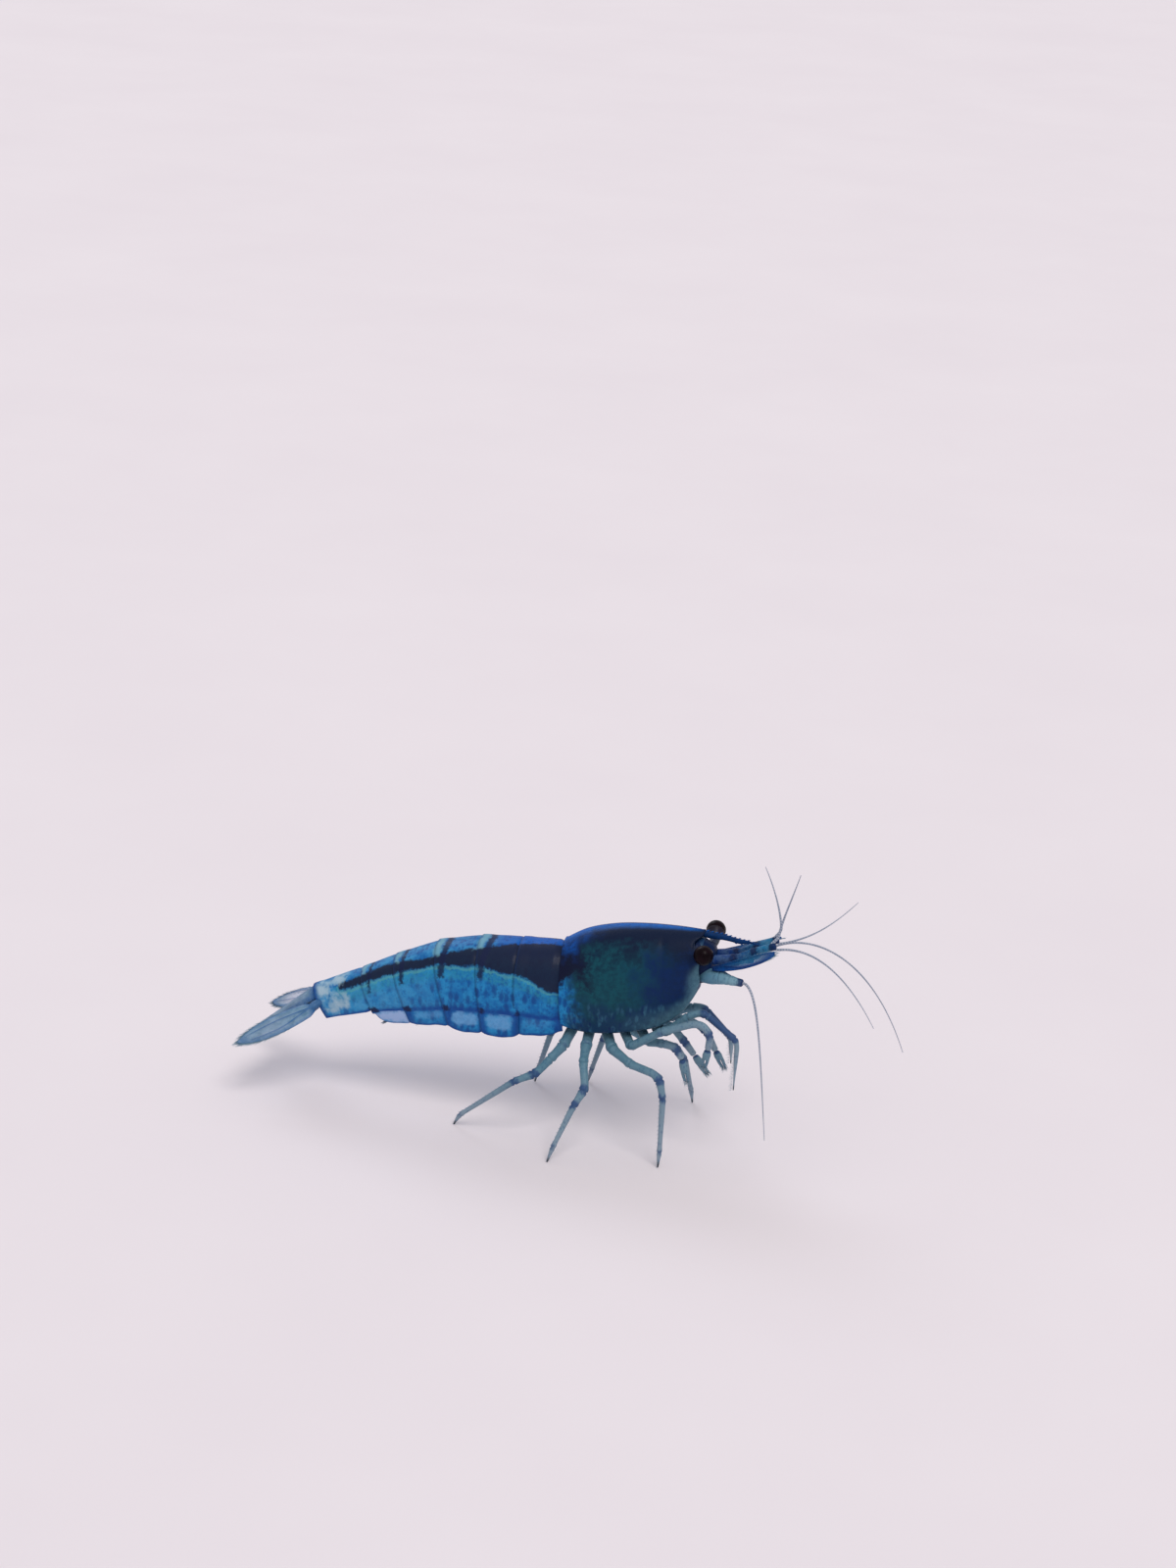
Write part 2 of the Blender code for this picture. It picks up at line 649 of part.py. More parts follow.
# Half the distance between a pair, at the first pair and less for each pair behind it.
SWIMMERET_ASIDE = 0.52
SWIMMERET_NARROWING = 0.045
# Shares of a ring's length between which its belly line is read, and where on it the swimmeret is set.
BELLY_SHARES = (0.05, 0.5)
SWIMMERET_PLACE = 0.55
# How much smaller each pair is than its neighbour on either side of the largest.
SWIMMERET_LOSS = 0.07
LARGEST_SWIMMERET = 2.5


def hip_path(route, side):
    """A limb's whole path, from its hip on the thorax through the given bends."""
    return [hip(route[0], side)] + [Vector(p) for p in route[1:]]


def side_of(name):
    """The side that a limb's name gives."""
    return LEFT if name.endswith("left") else RIGHT


def walking_leg(name, finish):
    """One of the six long legs, ending in a small flat foot on the floor."""
    side = side_of(name)
    path = hip_path(WALKING_LEGS[name], side)
    return limb(name, path, WALKING_RADII, finish, start_way=(0, side, 0), end_way=(0, 0, -1))


def claw_finger(name, palm_end, palm_way, tip, aside, finish):
    """One finger of a claw, bowed away from its partner; aside points from the claw's middle line."""
    root_spread, bow, tip_spread = FINGER_SPREAD
    end = tip + aside * tip_spread
    root = palm_end - palm_way * FINGER_ROOT + aside * root_spread
    middle = root.lerp(end, 0.55) + aside * bow
    return limb(name, (root, middle, end), FINGER_RADII, finish, sides=6)


def cheliped(name, finish):
    """A short arm with a two-fingered claw."""
    side = side_of(name)
    path = hip_path(CHELIPEDS[name], side)
    palm_way = (path[-1] - path[-2]).normalized()
    palm_end = path[-1] - palm_way * CLAW_LENGTH
    arm = path[:-1] + [palm_end]
    across = (Vector((0, side, 0)) - palm_way * palm_way.y * side).normalized()
    spread = palm_way.cross(across).normalized()
    fingers = [
        claw_finger(f"{name}_{finger}_finger", palm_end, palm_way, path[-1], spread * way, finish)
        for finger, way in (("fixed", 1), ("moving", -1))
    ]
    hip_radius, first, along_arm, before, last = ARM_RADII
    radii = [hip_radius, first] + [along_arm] * (len(arm) - 4) + [before, last]
    body = limb(name, arm, radii, finish, start_way=(0, side, 0))
    for finger in fingers:
        joint_union(body, finger)
    return body


def maxilliped(side, finish):
    """The third maxilliped, a leg-like mouth limb that hangs in front of the claws."""
    path = hip_path(MAXILLIPEDS[side], side)
    name = f"maxilliped_3_{SIDE_NAMES[side]}"
    return limb(name, path, MAXILLIPED_RADII, finish, start_way=(0, side, 0))


def pleopod(number, side, finish):
    """A swimmeret: a stem below the belly, and its paddle folded back under the next ring."""
    front, back = (
        centre - up * belly
        for centre, up, _, _, belly in (somite_place(number, share) for share in BELLY_SHARES)
    )
    along = (back - front).normalized()
    down = along.cross(Vector((0, 1, 0)))
    size = 1 - SWIMMERET_LOSS * abs(number - LARGEST_SWIMMERET)
    aside = side * (SWIMMERET_ASIDE - SWIMMERET_NARROWING * (number - 1))
    root = front.lerp(back, SWIMMERET_PLACE) + Vector((0, aside, 0)) + down * SEAM
    bends = [root + (down * below + along * behind) * size for below, behind in SWIMMERET_BENDS]
    name = f"pleopod_{number}_{SIDE_NAMES[side]}"
    return limb(name, (root, *bends), SWIMMERET_SIZES, finish, sides=6, start_way=down)


# -------------------------------------------------------------------------------- assembly


def clear_scene():
    """Removes whatever the scene starts with."""
    for found in list(bpy.data.objects):
        bpy.data.objects.remove(found)


def centre_on_floor():
    """Moves the whole animal so that the origin lies on the floor below the middle of its bounding box."""
    bpy.context.view_layer.update()
    graph = bpy.context.evaluated_depsgraph_get()
    places = []
    for shown in (o for o in bpy.context.scene.objects if not o.hide_render):
        places += [v.co for v in shown.evaluated_get(graph).to_mesh().vertices]
    low, high = (Vector([pick(p[k] for p in places) for k in range(3)]) for pick in (min, max))
    middle = (low + high) / 2
    middle.z = 0.0
    for found in bpy.context.scene.objects:
        found.location -= middle


def build():
    """Makes every sub-part of the shrimp."""
    clear_scene()
    shield = material("shield_shell", (0.010, 0.035, 0.090), 0.30)
    ring = material("ring_shell", (0.020, 0.140, 0.330), 0.32)
    fin = material("fin_membrane", (0.110, 0.270, 0.370), 0.35)
    leg = material("leg_shell", (0.070, 0.160, 0.230), 0.38)
    feeler_skin = material("feeler", (0.120, 0.170, 0.240), 0.45)
    cornea = material("cornea", (0.012, 0.004, 0.008), 0.12)
    flesh = material("underside", (0.060, 0.150, 0.220), 0.45)

    carapace(shield)
    rostrum(shield)
    head(shield)
    thorax(flesh)
    mouthparts(flesh)
    for number in range(1, len(SOMITES) + 1):
        abdomen_ring(number, ring)
    telson(fin)
    for blade, side, pose in FAN_POSES:
        uropod_blade(blade, side, pose, fin)
    for side in (LEFT, RIGHT):
        eye(side, cornea)
        eyestalk(side, leg)
        antennule_peduncle(side, leg)
        antenna_peduncle(side, leg)
        antennal_scale(side, fin)
        maxilliped(side, leg)
        for number in range(1, 6):
            pleopod(number, side, fin)
    for name in WALKING_LEGS:
        walking_leg(name, leg)
    for name in CHELIPEDS:
        cheliped(name, leg)
    for name, arc in FEELERS.items():
        feeler(name, *arc, feeler_skin)
    centre_on_floor()


build()
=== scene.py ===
"""Looks of a blue aquarium shrimp: shell plates, fins, limbs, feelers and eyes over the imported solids.

Sizes are in millimetres on the body plan: +X to the head, +Y to the animal's left, +Z up, floor at zero.
Each mesh goes to its place in the frame, in metres, when it is made.
"""

import json
import logging
from dataclasses import dataclass, field, replace
from enum import Enum
from functools import cached_property, partial, reduce
from itertools import pairwise, product
from math import copysign, cos, exp, hypot, pi, radians, sin, sqrt, tan, tau
from typing import Callable, Iterable, Sequence

import bmesh
import bpy
from mathutils import Matrix, Vector
from mathutils.geometry import interpolate_bezier

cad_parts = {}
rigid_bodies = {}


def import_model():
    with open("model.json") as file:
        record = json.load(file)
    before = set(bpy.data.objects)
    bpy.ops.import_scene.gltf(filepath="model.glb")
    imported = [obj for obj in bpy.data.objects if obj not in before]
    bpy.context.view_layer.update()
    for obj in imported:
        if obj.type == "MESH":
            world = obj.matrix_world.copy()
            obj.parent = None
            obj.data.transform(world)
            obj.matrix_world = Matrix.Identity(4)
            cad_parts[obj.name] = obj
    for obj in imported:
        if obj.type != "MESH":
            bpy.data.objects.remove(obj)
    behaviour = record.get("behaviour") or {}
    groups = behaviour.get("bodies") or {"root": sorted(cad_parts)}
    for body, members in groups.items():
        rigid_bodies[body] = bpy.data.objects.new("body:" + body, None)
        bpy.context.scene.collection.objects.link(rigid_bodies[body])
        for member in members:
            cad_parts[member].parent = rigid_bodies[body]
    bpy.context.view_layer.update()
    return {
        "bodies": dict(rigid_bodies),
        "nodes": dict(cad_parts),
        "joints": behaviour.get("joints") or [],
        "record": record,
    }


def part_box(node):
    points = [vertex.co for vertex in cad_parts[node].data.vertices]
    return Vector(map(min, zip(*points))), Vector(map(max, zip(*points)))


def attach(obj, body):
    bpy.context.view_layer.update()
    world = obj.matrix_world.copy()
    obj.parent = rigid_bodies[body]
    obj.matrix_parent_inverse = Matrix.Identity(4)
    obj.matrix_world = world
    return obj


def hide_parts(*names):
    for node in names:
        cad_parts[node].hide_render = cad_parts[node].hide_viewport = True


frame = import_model()

logging.basicConfig(level=logging.INFO, format="%(message)s")
log = logging.getLogger("shrimp")

MM = 0.001
BODY = "root"
# The eyes' x on the body plan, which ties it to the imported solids.
EYE_X = 7.99

Triple = tuple[float, float, float]
Places = tuple[Triple, ...]
Table = tuple[tuple[float, ...], ...]
Line = Sequence[Vector]
Knots = tuple[tuple[float, float], ...]
Socket = bpy.types.NodeSocket
Material = bpy.types.Material
NodeTree = bpy.types.NodeTree


class Side(Enum):
    """The animal's two sides, by the sign of Y."""

    LEFT = 1
    RIGHT = -1

    @property
    def label(self) -> str:
        """The side's name in a node's name."""
        return self.name.lower()

    def out(self, distance: float) -> Vector:
        """A step out from the midline."""
        return Vector((0, self.value * distance, 0))


class Slot(Enum):
    """The record's material slots."""

    SHIELD = "shield_shell"
    RING = "ring_shell"
    FIN = "fin_membrane"
    LEG = "leg_shell"
    FEELER = "feeler"
    CORNEA = "cornea"
    UNDERSIDE = "underside"


# ---- small helpers


def plan_offset() -> Vector:
    """Where the body plan's zero lies in the frame, in millimetres, read from the two packed eyes."""
    corners = [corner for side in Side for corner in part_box(f"eye_{side.label}")]
    middle = sum(corners, Vector()) / len(corners) / MM
    return Vector((middle.x - EYE_X, middle.y, 0.0))


PLAN_OFFSET = plan_offset()


def in_frame(point: Vector) -> Vector:
    """A point of the body plan, in metres in the frame."""
    return (point + PLAN_OFFSET) * MM


def sided(points: Iterable[Triple], side: Side) -> list[Vector]:
    """Points of the left side, on this side."""
    return [Vector((x, side.value * y, z)) for x, y, z in points]


def ease(low: float, high: float, value: float) -> float:
    """0 below low, 1 above high, smooth between them."""
    t = min(max((value - low) / (high - low), 0.0), 1.0)
    return t * t * (3 - 2 * t)


def bump(distance: float, width: float) -> float:
    """A bell of height 1, and 0.37 at this width."""
    return exp(-((distance / width) ** 2))


def mix(a: float, b: float, share: float) -> float:
    """The value at a share of the way."""
    return a + (b - a) * share


def even(low: float, high: float, steps: int) -> list[float]:
    """Even steps from low to high."""
    return [mix(low, high, k / steps) for k in range(steps + 1)]


def turns_of(sides: int) -> list[float]:
    """The angles of a ring's points."""
    return [tau * k / sides for k in range(sides)]


def thinned(thickness: float, *fades: float) -> float:
    """A plate's thickness, a third of it where a fade is 0."""
    return thickness * (0.33 + 0.67 * min(fades))


def smooth_row(rows: Sequence[Sequence[float]], share: float) -> list[float]:
    """Catmull-Rom curve through evenly spaced rows.

    Args:
        rows: The rows.
        share: Place along it, 0 to 1.

    Returns:
        A number for each column.
    """
    last = len(rows) - 1
    place = min(max(share, 0.0), 1.0) * last
    i = min(int(place), last - 1)
    f = place - i
    a, b, c, d = (rows[min(max(k, 0), last)] for k in (i - 1, i, i + 1, i + 2))
    return [
        q + 0.5 * f * (r - p + f * (2 * p - 5 * q + 4 * r - s + f * (3 * (q - r) + s - p)))
        for p, q, r, s in zip(a, b, c, d)
    ]


def between(knots: Knots, place: float) -> float:
    """A line of knots, eased between them.

    Args:
        knots: (place, value) pairs in order.
        place: The place.

    Returns:
        The value there.
    """
    if place <= knots[0][0]:
        return knots[0][1]
    for (near, low), (far, high) in pairwise(knots):
        if place <= far:
            return mix(low, high, ease(near, far, place))
    return knots[-1][1]


def linear(code: str) -> tuple[float, float, float, float]:
    """A colour's linear value from its sRGB code."""
    parts = [int(code[k:k + 2], 16) / 255 for k in (1, 3, 5)]
    return (*(p / 12.92 if p <= 0.04045 else ((p + 0.055) / 1.055) ** 2.4 for p in parts), 1.0)


# ---- meshes


class Sculpt:
    """A mesh in the making on the body plan, with named values at its points for the finish to read."""

    def __init__(self) -> None:
        """Starts empty."""
        self.points: list[Vector] = []
        self.faces: list[tuple[int, ...]] = []
        self.values: dict[str, list[float]] = {}

    def row(self, points: Iterable[Vector], **values: Sequence[float] | float) -> list[int]:
        """Adds a row of points.

        Args:
            points: Places on the body plan.
            values: Each one number, or one for each point.

        Returns:
            The points' indices.
        """
        start = len(self.points)
        self.points.extend(points)
        count = len(self.points) - start
        for name, given in values.items():
            numbers = given if isinstance(given, list) else [given] * count
            self.values.setdefault(name, [0.0] * start).extend(numbers)
        return list(range(start, start + count))

    def bridge(self, first: Sequence[int], second: Sequence[int]) -> None:
        """Joins two equal rows of points with quads."""
        self.faces.extend(zip(first, first[1:], second[1:], second))

    def loft(self, rows: Sequence[Line], values: Sequence[dict] | dict | None = None) -> None:
        """A closed solid through rings of points.

        Args:
            rows: The rings in order.
            values: Named values, for each ring or for all.
        """
        given = values if isinstance(values, list) else [values or {}] * len(rows)
        made = [self.row(row, **value) for row, value in zip(rows, given)]
        for near, far in pairwise(made):
            self.bridge([*near, near[0]], [*far, far[0]])
        for ring in (made[0], made[-1]):
            middle = sum((self.points[k] for k in ring), Vector()) / len(ring)
            means = {name: sum(store[k] for k in ring) / len(ring) for name, store in self.values.items()}
            centre = self.row([middle], **means)[0]
            self.faces.extend((a, b, centre) for a, b in zip(ring, [*ring[1:], ring[0]]))

    def tube(
        self, centres: Line, radii: Sequence[float | tuple[float, float]], sides: int,
        values: Sequence[dict] | dict,
    ) -> None:
        """A closed tube that nothing twists.

        Args:
            centres: The rings' centres.
            radii: Each one's radius, or (sideways, upright) radii.
            sides: Points in a ring.
            values: As for a loft.
        """
        steps = [(b - a).normalized() for a, b in pairwise(centres)]
        headings = [steps[0]] + [(a + b).normalized() for a, b in pairwise(steps)] + [steps[-1]]
        guide = Vector((0, 1, 0)) if abs(headings[0].y) < 0.9 else Vector((1, 0, 0))
        across = (guide - headings[0] * guide.dot(headings[0])).normalized()
        rings = []
        for i, (centre, heading, radius) in enumerate(zip(centres, headings, radii)):
            if i:
                across = headings[i - 1].rotation_difference(heading) @ across
            wide, deep = radius if isinstance(radius, tuple) else (radius, radius)
            aside, down = across * wide, heading.cross(across) * deep
            rings.append([centre + aside * cos(a) + down * sin(a) for a in turns_of(sides)])
        self.loft(rings, values)

    def plate(
        self, shares: Sequence[float], turns: Sequence[float], place: Callable[[float, float, bool], Vector],
        values: Callable[[float], dict],
    ) -> None:
        """A thin open plate with an outer and an inner face.

        Args:
            shares: Places of the rows along it.
            turns: Places of the columns across it.
            place: The point at a share and a turn, on the outer face if true.
            values: The named values of the row at a share.
        """
        grids = []
        for outer in (True, False):
            grids.append([self.row([place(s, turn, outer) for turn in turns], **values(s)) for s in shares])
            for near, far in pairwise(grids[-1]):
                self.bridge(near, far)
        top, low = grids
        for end in (0, -1):
            self.bridge(top[end], low[end])
            self.bridge([row[end] for row in top], [row[end] for row in low])

    def dress(self, name: str, finish: Material, slot: Slot, *nodes: str) -> None:
        """Makes a smooth object with outward faces and dresses it.

        Args:
            name: Its name.
            finish: Its material.
            slot: The finish's slot.
            nodes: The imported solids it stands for.
        """
        mesh = bpy.data.meshes.new(name)
        mesh.from_pydata([in_frame(p) for p in self.points], [], self.faces)
        shape = bmesh.new()
        shape.from_mesh(mesh)
        bmesh.ops.recalc_face_normals(shape, faces=shape.faces)
        shape.to_mesh(mesh)
        shape.free()
        for label, numbers in self.values.items():
            mesh.attributes.new(label, "FLOAT", "POINT").data.foreach_set("value", numbers)
        mesh.shade_smooth()
        mesh.materials.append(finish)
        dress(placed(name, mesh), slot, *nodes)


def placed(name: str, data: bpy.types.ID) -> bpy.types.Object:
    """A new object that holds a mesh, a lamp or a lens.

    Args:
        name: Its name.
        data: What it holds.

    Returns:
        The object.
    """
    made = bpy.data.objects.new(name, data)
    bpy.context.scene.collection.objects.link(made)
    return made


def dress(piece: bpy.types.Object, slot: Slot, *nodes: str) -> None:
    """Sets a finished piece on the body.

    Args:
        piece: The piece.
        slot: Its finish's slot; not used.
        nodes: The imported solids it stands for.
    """
    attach(piece, BODY)
    if nodes:
        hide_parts(*nodes)
    log.info("%s: %d faces", piece.name, len(piece.data.polygons))


def filleted(bends: Line, cut: float, spacing: float) -> tuple[list[Vector], list[float]]:
    """A line through bends with rounded corners.

    Args:
        bends: The corners, ends included.
        cut: Longest reach of a rounding from its corner.
        spacing: Distance between points.

    Returns:
        The points, and each bend's distance along the line.
    """
    fine, marks = [bends[0]], [0]
    for before, corner, after in zip(bends, bends[1:], bends[2:]):
        reach = [min(cut, 0.45 * (other - corner).length) for other in (before, after)]
        start = corner + (before - corner).normalized() * reach[0]
        end = corner + (after - corner).normalized() * reach[1]
        marks.append(len(fine) + 4)
        fine.extend(interpolate_bezier(start, start.lerp(corner, 0.66), end.lerp(corner, 0.66), end, 9))
    fine.append(bends[-1])
    marks.append(len(fine) - 1)
    lengths = [0.0]
    for a, b in pairwise(fine):
        lengths.append(lengths[-1] + (b - a).length)
    points, k = [], 0
    for place in even(0.0, lengths[-1], max(int(lengths[-1] / spacing), 2)):
        while k < len(lengths) - 2 and lengths[k + 1] < place:
            k += 1
        span = max(lengths[k + 1] - lengths[k], 1e-9)
        points.append(fine[k].lerp(fine[k + 1], (place - lengths[k]) / span))
    return points, [lengths[m] for m in marks]


# ---- node trees

# Socket types by name; other sockets are numbers of their default's type.
SOCKET_TYPES = {name: name for name in ("Color", "Geometry", "Material")} | {"Place": "Vector"}


class Tree:
    """Adds nodes to a tree and links them."""

    def __init__(self, tree: NodeTree) -> None:
        """Starts on a tree."""
        self.tree = tree

    def add(self, kind: str, inputs: dict | None = None, **settings: object) -> bpy.types.Node:
        """Adds a node.

        Args:
            kind: Its type.
            inputs: Values or sockets, by name or number.
            settings: Its properties.

        Returns:
            The node.
        """
        node = self.tree.nodes.new(kind)
        for name, value in settings.items():
            setattr(node, name, value)
        for key, value in (inputs or {}).items():
            self.feed(node.inputs[key], value)
        return node

    def feed(self, socket: Socket, value: object) -> None:
        """Links a socket into an input, or sets its value.

        Args:
            socket: The input.
            value: An output or a plain value.
        """
        if isinstance(value, Socket):
            self.tree.links.new(value, socket)
        else:
            socket.default_value = value

    def math(self, operation: str, *terms: object) -> Socket:
        """The result of a math node."""
        return self.add("ShaderNodeMath", dict(enumerate(terms)), operation=operation).outputs[0]

    def vector(self, operation: str, inputs: dict) -> Socket:
        """The result of a vector math node."""
        return self.add("ShaderNodeVectorMath", inputs, operation=operation).outputs[0]

    def times(self, *masks: object) -> object:
        """The product of the masks."""
        return reduce(lambda one, other: self.math("MULTIPLY", one, other), masks)

    def ramp(self, value: object, low: float, high: float, start: float = 0.0, end: float = 1.0) -> Socket:
        """A smooth ramp as a value goes from low to high."""
        inputs = {"Value": value, "From Min": low, "From Max": high, "To Min": start, "To Max": end}
        return self.add("ShaderNodeMapRange", inputs, interpolation_type="SMOOTHSTEP").outputs[0]

    def value(self, name: str) -> Socket:
        """A named value of the mesh's points."""
        return self.add("ShaderNodeAttribute", attribute_name=name).outputs["Fac"]

    def paint(self, under: object, over: object, mask: object) -> Socket:
        """One colour over another where the mask is 1."""
        return self.add("ShaderNodeMix", {0: mask, 6: under, 7: over}, data_type="RGBA").outputs[2]

    def noise(self, place: object, size: object, detail: float = 3.0) -> Socket:
        """Noise with blobs of about this size.

        Args:
            place: Where it is looked up.
            size: Size of a blob.
            detail: Finer layers.

        Returns:
            Its output.
        """
        rate = self.math("DIVIDE", 1.0, size)
        inputs = {"Vector": place, "Scale": rate, "Detail": detail, "Roughness": 0.6}
        return self.add("ShaderNodeTexNoise", inputs).outputs["Fac"]

    def group(self, group: NodeTree, *values: object) -> Socket:
        """A node group's output, fed in order."""
        return self.add("ShaderNodeGroup", dict(enumerate(values)), node_tree=group).outputs[0]


# A tree, its input sockets by name, and the socket that takes its result.
Started = tuple[Tree, dict[str, Socket], Socket]


def new_group(name: str, kind: str, inputs: dict[str, float | None], output: str) -> Started:
    """Starts a node group.

    Args:
        name: Its name.
        kind: ShaderNodeTree or GeometryNodeTree.
        inputs: The default of each input, or None.
        output: The output.

    Returns:
        The started tree.
    """
    group = bpy.data.node_groups.new(name, kind)
    sockets = [(label, "INPUT", default) for label, default in inputs.items()] + [(output, "OUTPUT", None)]
    for label, way, default in sockets:
        holds = SOCKET_TYPES.get(label, "Int" if isinstance(default, int) else "Float")
        made = group.interface.new_socket(name=label, in_out=way, socket_type=f"NodeSocket{holds}")
        if default is not None:
            made.default_value = default
    tree = Tree(group)
    entry = tree.add("NodeGroupInput").outputs
    return tree, {label: entry[label] for label in inputs}, tree.add("NodeGroupOutput").inputs[0]


class Effects:
    """The shader node groups that finishes share, each built when it is first needed."""

    def start(self, name: str, output: str, **inputs: float) -> Started:
        """Starts a shader group that first takes the place in millimetres."""
        return new_group(name, "ShaderNodeTree", {"Place": None, **inputs}, output)

    @cached_property
    def spots(self) -> NodeTree:
        """Separate star-like pigment spots, 1 inside."""
        tree, given, out = self.start("pigment spots", "Mask", Size=0.2, Cover=0.5, Stretch=1.0)
        wobble = tree.add("ShaderNodeTexNoise", {"Vector": given["Place"], "Scale": 6.0, "Detail": 2.0})
        shift = tree.vector("SCALE", {0: wobble.outputs["Color"], "Scale": 0.12})
        moved = tree.vector("ADD", {0: given["Place"], 1: shift})
        upright = tree.math("DIVIDE", 1.0, given["Stretch"])
        squeeze = tree.add("ShaderNodeCombineXYZ", {0: 1.0, 1: 1.0, 2: upright})
        shaped = tree.vector("MULTIPLY", {0: moved, 1: squeeze.outputs[0]})
        rate = tree.math("DIVIDE", 1.0, given["Size"])
        cells = tree.add("ShaderNodeTexVoronoi", {"Vector": shaped, "Scale": rate, "Randomness": 0.9})
        lot = tree.add("ShaderNodeSeparateColor", {0: cells.outputs["Color"]}).outputs[0]
        core = tree.ramp(cells.outputs["Distance"], 0.2, 0.55, 1.0, 0.0)
        tree.feed(out, tree.times(core, tree.math("LESS_THAN", lot, given["Cover"])))
        return tree.tree

    @cached_property
    def clouds(self) -> NodeTree:
        """Soft clouds of pigment, 0 to 1."""
        tree, given, out = self.start("pigment clouds", "Mask", Size=1.0, Contrast=1.0)
        noise = tree.noise(given["Place"], given["Size"], 4.0)
        spread = tree.times(tree.math("SUBTRACT", noise, 0.5), given["Contrast"], 3.0)
        tree.feed(out, tree.ramp(tree.math("ADD", spread, 0.5), 0.0, 1.0))
        return tree.tree

    @cached_property
    def pores(self) -> NodeTree:
        """Shell's fine pits and wrinkles, as a height."""
        tree, given, out = self.start("shell pores", "Height", Size=0.05)
        rate = tree.math("DIVIDE", 1.0, given["Size"])
        pits = tree.add("ShaderNodeTexVoronoi", {"Vector": given["Place"], "Scale": rate}).outputs["Distance"]
        waves = tree.noise(given["Place"], tree.times(given["Size"], 2.9))
        tree.feed(out, tree.math("ADD", tree.ramp(pits, 0.0, 0.45), tree.times(waves, 1.6)))
        return tree.tree

    @cached_property
    def band(self) -> NodeTree:
        """A soft-edged band round a value, 1 near its centre."""
        inputs = dict.fromkeys(("Value", "Centre", "Half Width", "Softness"), 0.1)
        tree, given, out = new_group("soft band", "ShaderNodeTree", inputs, "Mask")
        away = tree.math("ABSOLUTE", tree.math("SUBTRACT", given["Value"], given["Centre"]))
        over = tree.math("DIVIDE", tree.math("SUBTRACT", away, given["Half Width"]), given["Softness"])
        tree.feed(out, tree.ramp(over, 0.0, 1.0, 1.0, 0.0))
        return tree.tree

    @cached_property
    def flank(self) -> NodeTree:
        """The flanks' azure with clouds and upright dark streaks."""
        tree, given, out = self.start("azure flank", "Color")
        place = given["Place"]
        colour = tree.paint(linear("#0c66aa"), linear("#2488c2"), tree.group(self.clouds, place, 0.45, 1.1))
        for code, size, cover, stretch, strength in (
            ("#0a4388", 0.3, 0.7, 2.3, 0.8), ("#0e3f80", 0.12, 0.5, 1.6, 0.45),
        ):
            streaks = tree.group(self.spots, place, size, cover, stretch)
            colour = tree.paint(colour, linear(code), tree.times(streaks, strength))
        tree.feed(out, colour)
        return tree.tree


# ---- finishes


class Layers(Tree):
    """A material's tree while colours are laid on."""

    def __init__(self, made: Material, effects: Effects, ground: str) -> None:
        """Starts with the ground colour.

        Args:
            made: The material.
            effects: The shared effects.
            ground: The colour.
        """
        super().__init__(made.node_tree)
        self.effects = effects
        place = self.add("ShaderNodeTexCoord").outputs["Object"]
        self.place = self.vector("SCALE", {0: place, "Scale": 1 / MM})
        self.colour: object = linear(ground)

    def clouds(self, size: float, contrast: float = 1.0) -> Socket:
        """Soft clouds of this size."""
        return self.group(self.effects.clouds, self.place, size, contrast)

    def spots(self, size: float, cover: float, stretch: float = 1.0) -> Socket:
        """Pigment spots on this share of the surface, drawn out upwards."""
        return self.group(self.effects.spots, self.place, size, cover, stretch)

    def band(self, value: object, centre: float, half: float, soft: float) -> Socket:
        """A soft band of a value."""
        return self.group(self.effects.band, value, centre, half, soft)

    def wander(self, value: object, clouds: object, amount: float) -> Socket:
        """A value that strays with the clouds."""
        return self.math("MULTIPLY_ADD", self.math("SUBTRACT", clouds, 0.5), amount, value)

    def share(self, mask: object, least: float, most: float) -> Socket:
        """A mask between two strengths."""
        return self.math("MULTIPLY_ADD", mask, most - least, least)

    def lay(self, over: str | Socket, *masks: object) -> None:
        """Lays a code or a socket over the colour, where the masks are 1."""
        new = linear(over) if isinstance(over, str) else over
        self.colour = self.paint(self.colour, new, self.times(*masks))


@dataclass(frozen=True)
class Finish:
    """What every finish has: ground colour, gloss and pores."""

    ground: str = "#808080"
    roughness: float = 0.48
    coat: float = 0.06
    gloss: float = 0.22
    pore_size: float = 0.055
    pore_depth: float = 0.2

    def build(self, name: str, effects: Effects) -> Material:
        """Makes the material.

        Args:
            name: Its name.
            effects: The shared node groups.

        Returns:
            The material.
        """
        made = bpy.data.materials.new(name)
        made.use_nodes = True
        shader = made.node_tree.nodes["Principled BSDF"].inputs
        for socket, value in (
            ("Roughness", self.roughness), ("Coat Weight", self.coat), ("Specular IOR Level", self.gloss),
            ("Coat Roughness", 0.12), ("IOR", 1.45),
        ):
            shader[socket].default_value = value
        layers = Layers(made, effects, self.ground)
        self.paint(layers)
        layers.feed(shader["Base Color"], layers.colour)
        layers.feed(shader["Alpha"], self.cover(layers))
        bumped = {"Height": self.height(layers), "Strength": self.pore_depth, "Distance": 0.02 * MM}
        layers.feed(shader["Normal"], layers.add("ShaderNodeBump", bumped).outputs["Normal"])
        return made

    def paint(self, on: Layers) -> None:
        """Lays the colours."""
        on.lay("#ffffff", on.clouds(0.5), 0.1)

    def cover(self, on: Layers) -> object:
        """How opaque it is."""
        return 1.0

    def height(self, on: Layers) -> Socket:
        """The fine relief."""
        return on.group(on.effects.pores, on.place, self.pore_size)


